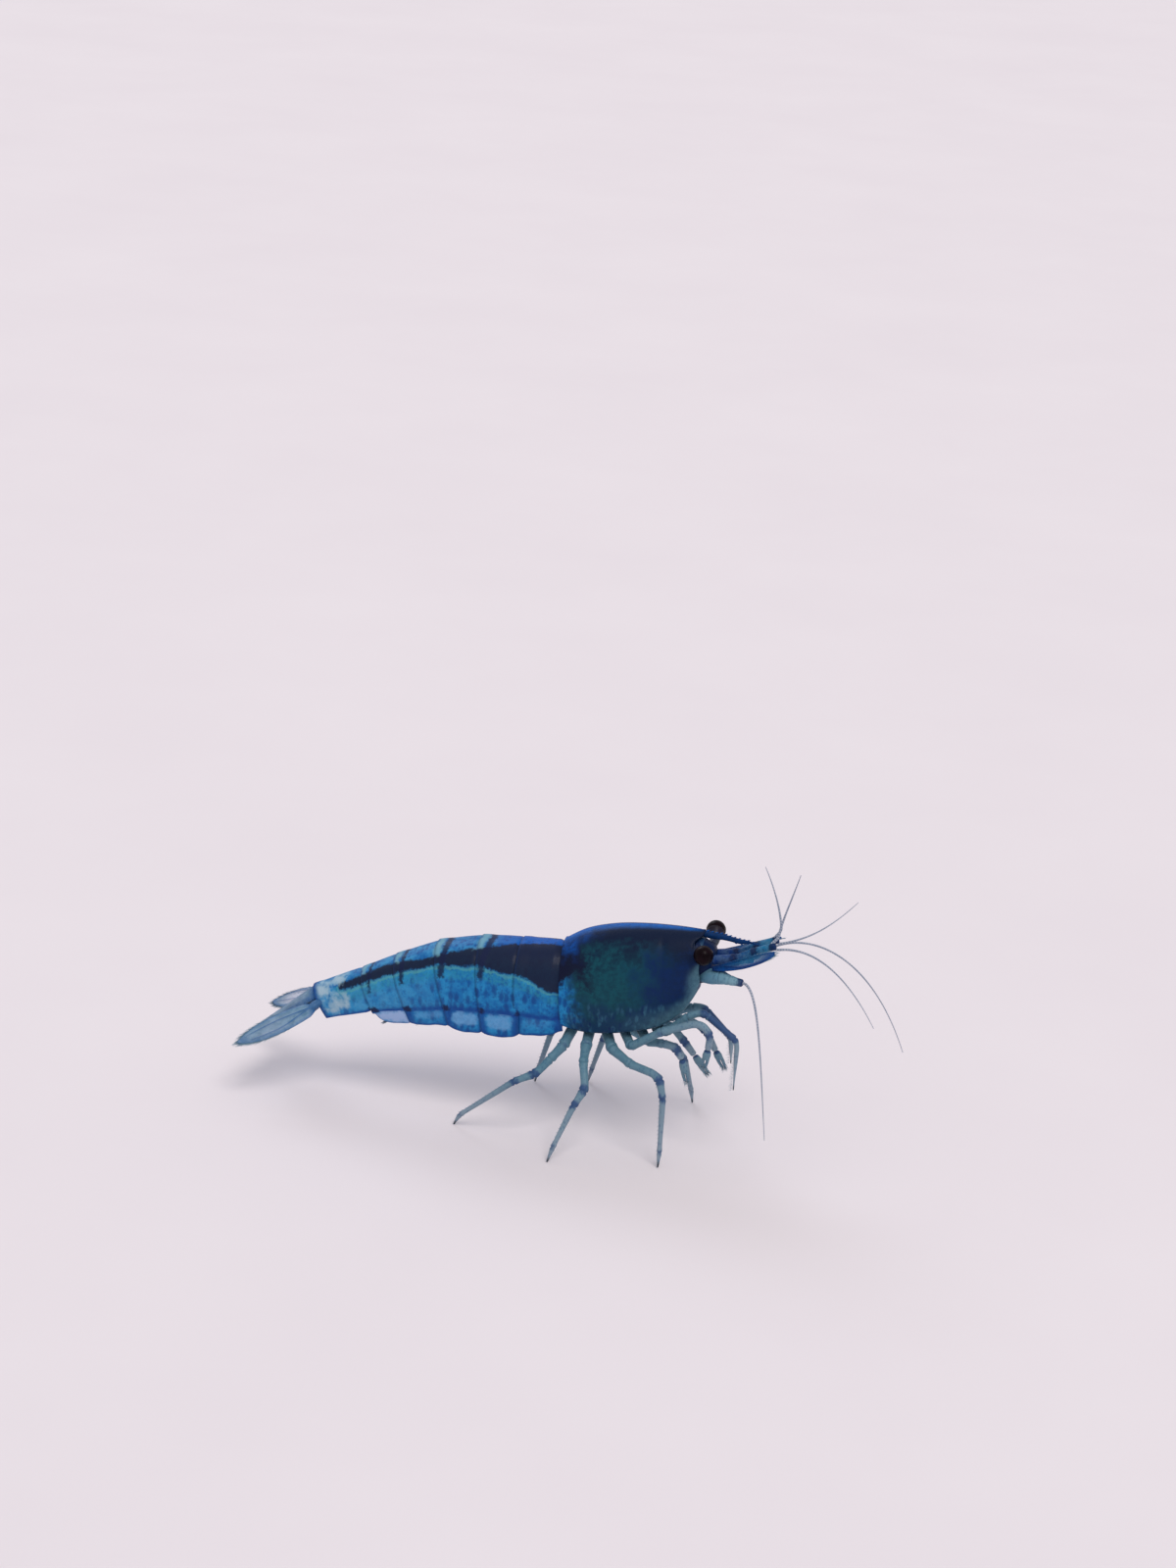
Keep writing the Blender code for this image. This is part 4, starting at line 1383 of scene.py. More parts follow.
@dataclass
class Face(Part):
    """The front of the head between the eyes."""

    # x, lowest z, highest z, half width.
    sections: Table = (
        (7.4, 7.9, 10.2, 0.92), (7.84, 8.0, 10.02, 0.88), (8.06, 8.18, 9.94, 0.82),
        (8.24, 8.4, 9.82, 0.7), (8.34, 8.66, 9.6, 0.46),
    )

    def build(self) -> None:
        """Makes the face, a little hollow beside the stalks."""
        face, rows = Sculpt(), []
        for share in even(0, 1, 20):
            x, low, high, half = smooth_row(self.sections, share)
            rows.append([])
            for a in turns_of(36):
                wide = half * sin(a) * (1 - 0.1 * bump(cos(a) - 0.35, 0.2))
                rows[-1].append(Vector((x, wide, (low + high) / 2 + (high - low) / 2 * cos(a))))
        face.loft(rows, {"along": 0.95, "girth": 0.62})
        face.dress("face_front", self.palette.shield, Slot.SHIELD, "head")


@dataclass
class Underside(Part):
    """One skin for all the flesh inside the shell plates."""

    sides: int = 40
    inset: float = 0.2
    # Reach below the carapace's margin, by the share of its length.
    reaches: Knots = ((0.0, 0.55), (0.3, 0.6), (0.6, 0.52), (0.78, 0.3), (1.0, 0.22))

    def section(self, centre: Vector, up: Vector, sizes: Sequence[float]) -> list[Vector]:
        """A loop round the body.

        Args:
            centre: Its centre.
            up: The way up.
            sizes: Half width, height above the centre, depth below it, and the belly's half width.

        Returns:
            The loop's points.
        """
        half, height, depth, belly = sizes
        loop = []
        for a in turns_of(self.sides):
            s, c = sin(a), cos(a)
            wide = half if c > 0 else mix(half, belly, ease(0.0, 0.8, -c))
            rise = height * c if c > 0 else -depth * abs(c) ** 0.75
            loop.append(centre + Vector((0, wide * s, 0)) + up * rise)
        return loop

    def build(self) -> None:
        """Makes the skin from jaws to tail."""
        skin, rows = Sculpt(), []
        for share in even(1.0, 0.04, 35):
            centre, up, half = SHIELD.axis(share)
            keel = SHIELD.keel_half * (1 - 0.25 * share ** 3) * mix(1.0, 0.72, share)
            reach = between(self.reaches, share) * (1 - 0.35 * share)
            reach += (SHIELD.station(share)[1] - centre).length
            height = up.length - self.inset - 0.15 * share
            sizes = half - self.inset - 0.1, height, reach, keel
            rows.append(self.section(centre, up.normalized(), sizes))
        for number in range(1, RINGS + 1):
            for share in even(0.08, 0.95, 5):
                centre, up, half, rise, belly = TAIL.place(number, share)
                depth = belly + 0.05 * sin(pi * share) - 0.04
                sizes = half - self.inset, rise - self.inset + 0.04, depth, half * 0.66
                rows.append(self.section(centre, up, sizes))
        skin.loft(rows)
        skin.dress("underside_skin", self.palette.skin, Slot.UNDERSIDE, "thorax", "mouthparts")


@dataclass
class Abdomen(Part):
    """Six rings of thin overlapping plates with rounded side plates."""

    rows: int = 44
    columns: int = 120
    thickness: float = 0.1
    overlap: float = 0.07
    # The dark band's edges in degrees from the top, by distance behind the carapace.
    band_top: Knots = ((0.0, 10.0), (2.0, 15.0), (4.0, 30.0), (6.0, 38.0), (8.3, 27.0), (10.6, 37.0))
    band_low: Knots = ((0.0, 98.0), (2.0, 75.0), (4.0, 64.0), (6.0, 60.0), (8.0, 59.0), (10.6, 69.0))
    band_end: float = 10.75
    # Depth of the side plates' lower edge, by the same distance.
    contour: Knots = ((0.0, 2.3), (1.0, 2.5), (2.8, 2.78), (4.7, 2.62), (6.6, 2.15), (8.5, 1.85))
    # How pale each window is, and how wide its frame.
    windows: Knots = ((0.0, 0.28), (0.75, 0.25), (0.9, 0.25), (0.35, 0.28), (1.0, 0.06))
    window_foot: float = 0.34
    window_corner: float = 0.24
    # Dark bars across the back: each one's joint and half width.
    bars: Knots = ((2, 0.15), (3, 0.15), (4, 0.11), (5, 0.08))
    # Pale spots of the last ring: distance, girth and radius.
    spots: Places = (
        (11.55, 0.5, 0.4), (10.7, 0.25, 0.25), (10.85, 1.25, 0.44), (11.5, 1.62, 0.24),
    )

    def outline(self, number: int, share: float, girth: float) -> tuple[float, float]:
        """The (sideways, upright) place of a plate's outer face.

        Args:
            number: The ring.
            share: Share of its length.
            girth: 0 on top, 1 where widest, 2 below the muscle, 3 at the edge.

        Returns:
            Distances from the joint line.
        """
        _, _, half, rise, belly = TAIL.place(number, share)
        if girth <= 1:
            return half * sin(girth * pi / 2), rise * cos(girth * pi / 2)
        if girth <= 2:
            return half * (1 - 0.1 * (girth - 1) ** 2), -belly * (girth - 1)
        t = girth - 2
        lobe = 1 - 0.07 * min(abs(2 * share - 1), 1.15) ** 4
        if number == RINGS - 1:
            lobe = sqrt(1 - 0.97 * min(max(share, 0.0), 1.0) ** 3)
        drop = 0.04 if number == RINGS else (between(self.contour, TAIL.behind(number, share)) - belly) * lobe
        return half * 0.9 - 0.12 * t * t, -belly - drop * t

    def point(self, number: int, share: float, turn: float, depth: float) -> Vector:
        """A point of a plate: sunk in front and proud behind, but the second over both its neighbours.

        Args:
            number: The ring.
            share: Share of its length.
            turn: Its girth, with the side's sign.
            depth: Depth below the outer face.

        Returns:
            The point.
        """
        girth = abs(turn)
        side = ease(1.5, 2.1, girth)
        tucked, proud = -0.085 * ease(0.17, -0.02, share), 0.035 * ease(0.7, 1.0, share)
        if number == 2:
            tucked = mix(tucked, 0.05 * ease(0.3, 0.0, share), side)
        if number == 1:
            proud = mix(proud, -0.06 * ease(0.8, 1.0, share), side)
        lift = tucked + proud + 0.02 * sin(pi * share) * ease(2.3, 1.9, girth)
        centre, up, *_ = TAIL.place(number, share)
        y, z = self.outline(number, share, girth)
        grow = 1 + (lift - depth) / max(hypot(y, z), 0.3)
        return centre + Vector((0, copysign(y * grow, turn), 0)) + up * z * grow

    def band(self, behind: float, girth: float, radius: float) -> float:
        """How far inside the dark band a place lies.

        Args:
            behind: Distance behind the carapace.
            girth: Place round the ring.
            radius: The ring's half width.

        Returns:
            The distance.
        """
        angle = min(girth, 1.0) * 90 + max(girth - 1, 0) * 60
        inside = min(angle - between(self.band_top, behind), between(self.band_low, behind) - angle)
        return min(radians(inside) * radius, (self.band_end - behind) * 2.0)

    def window(self, number: int, share: float, girth: float) -> float:
        """How far inside its plate's clear window a place lies.

        Args:
            number: The ring.
            share: Share of its length.
            girth: Place round it.

        Returns:
            The distance.
        """
        if number == RINGS or girth < 2:
            return -1.0
        length, frame = TAIL.rings[number - 1][0], self.windows[number - 1][1]
        hang = -self.outline(number, share, 3)[1] + self.outline(number, share, 2)[1]
        foot = self.window_foot if number < RINGS - 1 else 0.06
        sides = (0.5 - abs(share - 0.5)) * length - frame
        heights = min((girth - 2) * hang - 0.05, (3 - girth) * hang - foot)
        corner = self.window_corner
        return corner - hypot(corner - min(sides, corner), corner - min(heights, corner))

    def bar(self, behind: float, girth: float, radius: float) -> tuple[float, float]:
        """How far inside a dark bar, and a pale patch behind it, a place lies.

        Args:
            behind: Distance behind the carapace.
            girth: Place round the ring.
            radius: The ring's half width.

        Returns:
            The two distances.
        """
        arc = min(girth, 1.0) * radius * 1.5 + max(girth - 1, 0.0) * 1.5
        crossing = radians(between(self.band_low, behind)) * radius + 0.45 - arc
        above = radians(between(self.band_top, behind)) * radius - arc + 0.05
        bar = patch = -1.0
        for number, half in self.bars:
            away = behind - TAIL.behind(int(number)) + 0.46 - 0.17 * arc
            bar = max(bar, min(half - abs(away), crossing))
            patch = max(patch, min(half + 0.06 - abs(away - 0.36), above))
        for number in LINKED_RINGS:
            blot = hypot(behind - TAIL.behind(number) + 0.04, (girth - 1.93) * 1.4)
            bar = max(bar, 0.06 + 0.04 * number - blot)
        return bar, patch

    def values(self, number: int, share: float, turns: Sequence[float]) -> dict:
        """The named values of a row.

        Args:
            number: The ring.
            share: Share of its length.
            turns: Places round it.

        Returns:
            The values by name.
        """
        behind = TAIL.behind(number, share)
        radius = TAIL.place(number, share)[2]
        girths = [min(abs(turn), 3.0) for turn in turns]
        bars, patches = zip(*(self.bar(behind, g, radius) for g in girths))
        if number == RINGS:
            patches = [
                0.3 * max(r - hypot(behind - at, g - place) for at, place, r in self.spots)
                for g in girths
            ]
        return {
            "share": share,
            "girth": girths,
            "band": [self.band(behind, g, radius) for g in girths],
            "window": [self.window(number, share, g) for g in girths],
            "pale": 0.0 if number == RINGS else self.windows[number - 1][0],
            "bar": list(bars),
            "patch": list(patches),
            "end": ease(0.86, 0.97, share) if number == RINGS else 0.0,
            "aft": behind / TAIL.behind(RINGS),
        }

    def build(self) -> None:
        """Makes five rings that are open below, and the sixth, closed below."""
        turns = even(-3, 3, self.columns)
        for number in LINKED_RINGS:
            ring = Sculpt()
            place, values = partial(self.face, number), partial(self.values, number, turns=turns)
            ring.plate(even(-self.overlap, 1 + self.overlap, self.rows), turns, place, values)
            ring.dress(f"abdomen_plate_{number}", self.palette.ring, Slot.RING, f"abdomen_{number}")
        ring, rows, values = Sculpt(), [], []
        turns = even(-4, 4, self.columns)[:-1]
        for share in even(-0.05, 0.985, self.rows):
            up = TAIL.place(RINGS, share)[1]
            row = []
            for turn in turns:
                point = self.point(RINGS, share, max(-3.0, min(3.0, turn)), 0.0)
                below = min(4 - abs(turn), 1.0)
                row.append(Vector((point.x, point.y * below, point.z)) - up * 0.1 * (1 - below * below))
            rows.append(row)
            values.append(self.values(RINGS, share, turns))
        ring.loft(rows, values)
        ring.dress("abdomen_plate_6", self.palette.ring, Slot.RING, "abdomen_6")

    def face(self, number: int, share: float, turn: float, outer: bool) -> Vector:
        """A point of either face of an open ring, which is thinner towards its edges."""
        ends = ease(-self.overlap, 0.0, share), ease(1 + self.overlap, 1.0, share), ease(3.0, 2.85, abs(turn))
        return self.point(number, share, turn, 0.0 if outer else thinned(self.thickness, *ends))


# ---- limbs


@dataclass(frozen=True)
class LimbShape:
    """How one kind of limb is built."""

    # Radius at each bend; the bends that are joints, and how dark they are.
    radii: tuple[float, ...]
    joints: tuple[int, ...]
    tone: tuple[float, ...]
    # Two bends between which it is dark.
    sleeve: tuple[int, ...] = ()
    fillet: float = 0.24
    sides: int = 16
    spacing: float = 0.045
    swelling: float = 0.2
    groove: float = 0.26
    # How much of the colouring along it shows.
    reach: float = 1.0

    def build(self, name: str, path: Line, finish: Material, node: str) -> None:
        """Makes a limb that swells towards each joint, with a groove at the joint.

        Args:
            name: Its name.
            path: Hip, bends and end.
            finish: Its material.
            node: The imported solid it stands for.
        """
        line, marks = filleted(path, self.fillet, self.spacing)
        radii, values = [], []
        for place in even(0.0, marks[-1], len(line) - 1):
            radius, dark = between(tuple(zip(marks, self.radii)), place), 0.0
            for k, tone in zip(self.joints, self.tone):
                away = place - marks[k]
                radius *= 1 + self.swelling * (bump(away + 0.1, 0.13) + 0.5 * bump(away - 0.09, 0.08))
                radius *= 1 - self.groove * bump(away, 0.032)
                dark = max(dark, tone * bump(away + 0.05, 0.26))
            if self.sleeve:
                near, far = (marks[k] for k in self.sleeve)
                inside = ease(near - 0.1, near + 0.3, place) * ease(far + 0.2, far, place)
                dark = max(dark, inside)
            rounding = 0.35 + 0.65 * sqrt(min(max(marks[-1] - place, 0.0) / 0.06, 1.0))
            radii.append(radius * rounding)
            values.append({"along": self.reach * place / marks[-1], "joint": dark})
        limb = Sculpt()
        limb.tube(line, radii, self.sides, values)
        limb.dress(name, finish, Slot.LEG, node)


# Share of a full turn from one hair to the next round a finger's tip: the golden angle.
GOLDEN_SHARE = 0.381966
# A hip's place along the body, then the bends down to the limb's end.
Route = tuple[float, Places]


def route_path(route: Route, side: Side) -> list[Vector]:
    """The hip and the bends."""
    return [SHIELD.hip(route[0], side), *(Vector(bend) for bend in route[1])]


WALKER = LimbShape(
    radii=(0.26, 0.235, 0.19, 0.185, 0.19, 0.145, 0.105, 0.04), joints=(1, 2, 4, 5, 6),
    tone=(0.35, 0.2, 0.9, 0.8, 0.5),
)
ARM = LimbShape(
    radii=(0.23, 0.21, 0.18, 0.175, 0.17, 0.16), joints=(1, 2), tone=(0.3, 0.4, 0.9), fillet=0.26, sides=14,
    reach=0.8,
)
JAW_LEG = LimbShape(
    radii=(0.23, 0.21, 0.18, 0.17, 0.16, 0.145, 0.115, 0.03), joints=(1, 2, 4, 5), tone=(0.3, 0.3, 0.9, 0.9),
    sleeve=(4, 5), fillet=0.26, sides=14,
)

WALKING_ROUTES: dict[tuple[int, Side], Route] = {
    (3, Side.RIGHT): (3.6, ((4.05, -1.5, 4.72), (5.1, -2.25, 4.42), (6.3, -2.86, 4.4), (6.62, -3.0, 4.18),
        (6.84, -3.15, 3.35), (6.88, -3.33, 0.75), (6.86, -3.4, 0.02))),
    (4, Side.RIGHT): (2.78, ((2.86, -1.6, 4.72), (2.95, -2.5, 4.28), (3.22, -3.18, 3.52),
        (3.2, -3.34, 3.28), (2.86, -3.8, 2.66), (2.12, -4.35, 0.72), (1.92, -4.48, 0.02))),
    (5, Side.RIGHT): (1.98, ((1.76, -1.4, 4.5), (1.25, -1.75, 3.88), (0.82, -2.06, 3.38), (0.6, -2.16, 3.2),
        (-0.28, -2.4, 2.8), (-2.8, -2.12, 0.6), (-3.1, -2.05, 0.02))),
    (3, Side.LEFT): (3.6, ((4.05, 1.45, 4.62), (5.1, 1.95, 3.8), (6.05, 2.65, 3.36), (6.3, 2.85, 3.2),
        (6.7, 3.2, 2.5), (7.02, 3.72, 0.72), (7.1, 3.85, 0.02))),
    (4, Side.LEFT): (2.78, ((2.84, 1.6, 4.74), (2.92, 2.45, 4.4), (3.02, 3.15, 3.66), (2.98, 3.32, 3.42),
        (2.62, 3.85, 2.72), (2.02, 4.42, 0.72), (1.86, 4.54, 0.02))),
    (5, Side.LEFT): (1.98, ((1.74, 1.45, 4.62), (1.3, 2.05, 4.26), (0.86, 2.62, 3.92), (0.7, 2.78, 3.7),
        (0.22, 3.2, 2.96), (-0.42, 3.62, 0.72), (-0.56, 3.7, 0.02))),
}
ARM_ROUTES: dict[tuple[int, Side], Route] = {
    (1, Side.RIGHT): (5.2, ((5.65, -1.25, 5.2), (6.45, -1.55, 5.35), (6.9, -1.65, 5.35), (7.1, -1.65, 5.15),
        (7.35, -1.65, 4.75), (7.64, -1.5, 3.52))),
    (2, Side.RIGHT): (4.42, ((4.95, -1.62, 5.02), (6.43, -2.1, 6.2), (7.89, -2.2, 6.84), (8.33, -2.2, 6.8),
        (8.66, -2.2, 6.36), (8.58, -2.1, 5.6), (8.4, -1.9, 4.55))),
    (1, Side.LEFT): (5.2, ((5.75, 1.2, 5.15), (6.35, 1.25, 4.95), (6.96, 1.25, 4.29), (7.47, 1.15, 3.74),
        (8.2, 0.95, 2.95))),
    (2, Side.LEFT): (4.42, ((4.95, 1.6, 4.92), (6.3, 1.95, 5.2), (7.29, 1.75, 5.12), (7.87, 1.65, 4.8),
        (8.38, 1.6, 3.9), (8.85, 1.7, 3.0))),
}
JAW_LEG_ROUTES: dict[Side, Route] = {
    Side.RIGHT: (5.86, ((6.5, -1.26, 5.84), (7.48, -1.52, 6.84), (7.96, -1.5, 7.1), (8.31, -1.58, 7.08),
        (9.72, -1.7, 6.11), (9.84, -1.7, 5.8), (9.8, -1.6, 3.54))),
    Side.LEFT: (5.86, ((6.5, 1.22, 5.84), (7.25, 1.25, 6.12), (7.6, 1.28, 6.16), (7.86, 1.3, 6.02),
        (9.02, 1.3, 4.9), (9.12, 1.27, 4.62), (9.2, 1.1, 3.6))),
}


@dataclass
class WalkingLegs(Part):
    """The six long legs, with short spines and a dark claw."""

    spine_length: float = 0.16
    # The spined segments by first bend, and the gap between spines.
    spined: tuple[tuple[int, float], ...] = ((4, 0.3), (5, 0.2), (6, 0.09))

    def build(self) -> None:
        """Makes the legs and spines."""
        spines = Bristles("leg_spines", thickness=0.016, sides=4)
        for (number, side), route in WALKING_ROUTES.items():
            name = f"walking_leg_{number}_{side.label}"
            path = route_path(route, side)
            WALKER.build(f"{name}_shell", path, self.palette.leg, name)
            for k, gap in self.spined:
                near, far = path[k:k + 2]
                heading = (far - near).normalized()
                behind = Vector((-1, 0, 0)) + heading * heading.x
                behind = behind.normalized() if behind.length > 0.1 else Vector((0, 0, -1))
                steps = max(int((far - near).length / gap), 2)
                size = self.spine_length * mix(1.0, 0.55, (k - 4) / 2)
                way = (heading * 0.75 + behind * 0.65).normalized() * size
                for i in range(steps):
                    share = (i + 0.5) / steps
                    root = near.lerp(far, share) + behind * mix(*WALKER.radii[k:k + 2], share) * 0.8
                    spines.add(root, way, (k + share) / 8, len(spines.hairs) % 97 / 97)
        spines.grow(self.palette.hair, Slot.LEG)


@dataclass
class FrontLimbs(Part):
    """The four clawed arms and the two leg-like outer jaws."""

    finger_length: float = 0.62
    palm_radius: float = 0.19
    finger_radius: float = 0.09
    brush_hairs: int = 34
    hair_length: float = 0.27
    palm_shape: Knots = ((0.0, 0.6), (0.15, 0.86), (0.55, 1.0), (0.9, 0.92), (1.0, 0.72))
    finger_shape: Knots = ((0.0, 1.0), (0.5, 0.85), (0.85, 0.75), (1.0, 0.35))

    def build(self) -> None:
        """Makes arms, claws, brushes and jaws."""
        brush = Bristles("claw_brushes", thickness=0.013, bend=0.2, spread=0.28, seed=11)
        for (number, side), route in ARM_ROUTES.items():
            label = f"{number}_{side.label}"
            path = route_path(route, side)
            last = len(path) - 2
            shape = replace(ARM, radii=(*ARM.radii[:last], 0.15), joints=(*ARM.joints, last - 1))
            node = f"cheliped_{label}"
            shape.build(f"{node}_arm", path[:-1], self.palette.leg, node)
            self.claw(f"claw_{label}", path, side, brush)
        brush.grow(self.palette.hair, Slot.LEG)
        comb = Bristles("jaw_combs", bend=0.12, spread=0.15, seed=12)
        for side, route in JAW_LEG_ROUTES.items():
            name = f"maxilliped_3_{side.label}"
            path = route_path(route, side)
            JAW_LEG.build(f"{name}_shell", path, self.palette.leg, name)
            for k in (4, 6):
                near, far = path[k:k + 2]
                heading = (far - near).normalized()
                inward = Vector((-0.5, 0, -0.85))
                inward = (inward - heading * heading.dot(inward)).normalized()
                steps = int((far - near).length / 0.07)
                for i in range(steps):
                    share = (i + 0.5) / steps
                    way = (heading * 0.6 + inward + Vector((0, (-1) ** i * 0.25, 0))).normalized() * 0.19
                    root = near.lerp(far, share) + inward * 0.08
                    comb.add(root, way, (k + share) / 8, (i % 2) * 0.5 + 0.25)
        comb.grow(self.palette.hair, Slot.LEG)

    def claw(self, name: str, path: Line, side: Side, brush: Bristles) -> None:
        """Makes a claw: palm, two fingers and their brushes.

        Args:
            name: Its name.
            path: The arm's path, wrist and tip last.
            side: Its side.
            brush: Takes the hairs.
        """
        wrist, tip = path[-2:]
        way = (tip - wrist).normalized()
        palm_end = tip - way * self.finger_length
        across = (side.out(1) - way * way.y * side.value).normalized()
        spread = way.cross(across).normalized()
        claw = Sculpt()
        shares = even(0, 1, 12)
        line = [(wrist + way * 0.02).lerp(palm_end + way * 0.06, share) for share in shares]
        sizes = [self.palm_radius * between(self.palm_shape, share) for share in shares]
        tones = [{"along": 0.5, "joint": 0.9 * bump(share, 0.25)} for share in shares]
        claw.tube(line, [(size * 0.82, size) for size in sizes], 14, tones)
        for sign in (-1, 1):
            root = palm_end - way * 0.08 + spread * sign * 0.08
            end = tip - way * 0.1 + spread * sign * 0.06
            bow = spread * sign * 0.035
            arc = interpolate_bezier(root, root + way * 0.2 + bow * 0.9, end - way * 0.2 + bow, end, 13)
            radii = [self.finger_radius * between(self.finger_shape, share) for share in shares]
            claw.tube(arc, radii, 10, [{"along": 0.5, "joint": 0.15 + 0.3 * share} for share in shares])
            for k in range(self.brush_hairs):
                turn = tau * k * GOLDEN_SHARE
                out = across * cos(turn) + spread * sin(turn)
                root = arc[-1].lerp(arc[-5], (k % 4) / 4) + out * 0.03
                hair = (way + out * 0.42).normalized() * self.hair_length * mix(0.55, 1.0, (k % 5) / 4)
                brush.add(root, hair, len(brush.hairs) % 101 / 101, k / self.brush_hairs)
        claw.dress(name, self.palette.leg, Slot.LEG)


# ---- eyes and feelers


@dataclass
class EyePair(Part):
    """The two dark corneas on short stalks."""

    centre: Triple = (EYE_X, 1.58, 9.95)
    radius: float = 0.455
    facet_height: float = 0.006
    # The stalk: x, distance out, height and radius.
    stalk: Table = (
        (8.02, 0.5, 9.62, 0.21), (8.06, 0.86, 9.68, 0.22), (8.05, 1.08, 9.76, 0.26),
        (8.02, 1.28, 9.84, 0.37), (8.0, 1.44, 9.9, 0.43), (7.99, 1.56, 9.94, 0.4),
    )

    def build(self) -> None:
        """Makes both eyes: domes of small raised facets, flatter where the stalks meet them."""
        for side in Side:
            centre = sided([self.centre], side)[0]
            axis = Vector((0.28, side.value, 0.22)).normalized()
            guide = axis.cross(Vector((0, 0, 1))).normalized()
            upright = axis.cross(guide)
            rings = []
            for i, polar in enumerate(even(0, pi, 46)[1:-1]):
                flat = 1 - 0.1 * ease(0.55, 1.0, -cos(polar))
                ring = []
                for turn in (angle + tau / 144 * (i % 2) for angle in turns_of(72)):
                    facet = self.facet_height * cos(polar * 23) * cos(turn * 18) * sin(polar)
                    out = (guide * cos(turn) + upright * sin(turn)) * sin(polar)
                    out += axis * cos(polar)
                    ring.append(centre + out * (self.radius * flat + facet))
                rings.append(ring)
            dome = Sculpt()
            dome.loft(rings)
            dome.dress(f"cornea_{side.label}", self.palette.cornea, Slot.CORNEA, f"eye_{side.label}")
            rows = [smooth_row(self.stalk, share) for share in even(0, 1, 24)]
            stalk = Sculpt()
            line = sided([row[:3] for row in rows], side)
            values = [{"along": s, "joint": 0.4 + 0.6 * ease(0.4, 0.8, s)} for s in even(0, 1, 24)]
            stalk.tube(line, [row[3] for row in rows], 28, values)
            node = f"eyestalk_{side.label}"
            stalk.dress(f"{node}_skin", self.palette.stalk, Slot.LEG, node)


FIRST_STEM = LimbShape(
    radii=(0.2, 0.235, 0.22, 0.2, 0.21, 0.185, 0.17), joints=(2, 4, 6), tone=(0.8, 0.8, 1.2), fillet=0.1,
    sides=18, spacing=0.035, swelling=0.1, groove=0.16,
)
SECOND_STEM = LimbShape(
    radii=(0.36, 0.38, 0.3, 0.22, 0.16), joints=(2, 3, 4), tone=(0.2, 0.2, 1.0), fillet=0.16, sides=18,
    spacing=0.035, swelling=0.1, groove=0.14,
)


@dataclass
class Feelers(Part):
    """Both pairs of antennae: jointed stems and ringed feelers."""

    ring_length: float = 0.13
    # On the left side.
    first_stem: Places = (
        (7.95, 0.34, 9.24), (8.38, 0.37, 9.3), (9.3, 0.37, 9.48), (9.42, 0.37, 9.54), (10.2, 0.38, 9.97),
        (10.34, 0.38, 10.05), (11.08, 0.4, 10.4),
    )
    second_stem: Places = (
        (7.9, 0.52, 8.56), (8.34, 0.72, 8.64), (8.8, 1.0, 8.76), (9.22, 1.24, 8.78), (9.86, 1.44, 8.8),
    )
    # The end inside the stem, a cubic arc, and root and tip radii.
    flagella: tuple[tuple[str, Places, float, float], ...] = (
        ("antenna_flagellum_right", ((9.55, -1.34, 8.79), (9.98, -1.5, 8.8), (10.75, -2.3, 8.75),
            (11.05, -2.55, 5.8), (11.5, -2.3, 1.6)), 0.075, 0.017),
        ("antenna_flagellum_left", ((9.55, 1.34, 8.79), (10.02, 1.48, 8.9), (11.3, 1.5, 10.6),
            (14.8, 2.6, 10.2), (16.8, 4.1, 4.0)), 0.075, 0.017),
        ("antennule_outer_flagellum_right", ((10.8, -0.38, 10.32), (11.18, -0.42, 10.9),
            (11.25, -0.45, 11.6), (11.6, -0.5, 12.6), (12.0, -0.8, 14.1)), 0.088, 0.018),
        ("antennule_inner_flagellum_right", ((10.8, -0.38, 10.24), (11.24, -0.4, 10.22), (13.0, -0.6, 10.7),
            (14.6, -0.9, 9.4), (15.9, -1.3, 7.4)), 0.075, 0.016),
        ("antennule_outer_flagellum_left", ((10.8, 0.38, 10.32), (11.15, 0.42, 10.91), (11.05, 0.6, 11.6),
            (10.7, 0.9, 12.5), (10.1, 1.2, 13.5)), 0.08, 0.017),
        ("antennule_inner_flagellum_left", ((10.8, 0.38, 10.24), (11.24, 0.4, 10.22), (12.3, 0.55, 10.5),
            (13.2, 1.0, 10.9), (14.4, 1.6, 12.2)), 0.07, 0.016),
    )

    def build(self) -> None:
        """Makes both pairs."""
        palette = self.palette
        for node, places, root, tip in self.flagella:
            inside, start, handle, *rest = (Vector(place) for place in places)
            ahead = (handle - start).normalized() * 0.12
            line = interpolate_bezier(inside, inside.lerp(start, 0.5), start - ahead, start, 7)[:-1]
            line += interpolate_bezier(start, handle, *rest, 72)
            source = bpy.data.meshes.new(node)
            source.from_pydata([in_frame(p) for p in line], [(k, k + 1) for k in range(len(line) - 1)], [])
            length = sum((b - a).length for a, b in pairwise(line))
            dress(grown(f"{node}_rings", source, FLAGELLUM_TREE, {
                "Root Radius": root * MM, "Tip Radius": tip * MM, "Ring Length": self.ring_length * MM,
                "Ring Depth": 0.22, "Points": int(length / self.ring_length * 5), "Sides": 8,
                "Material": palette.feeler,
            }), Slot.FEELER, node)
        stems = (
            ("antennule", FIRST_STEM, self.first_stem, palette.stem),
            ("antenna", SECOND_STEM, self.second_stem, palette.clear_stem),
        )
        for side, (name, shape, path, finish) in product(Side, stems):
            node = f"{name}_peduncle_{side.label}"
            shape.build(f"{name}_stem_{side.label}", sided(path, side), finish, node)


# ---- fins


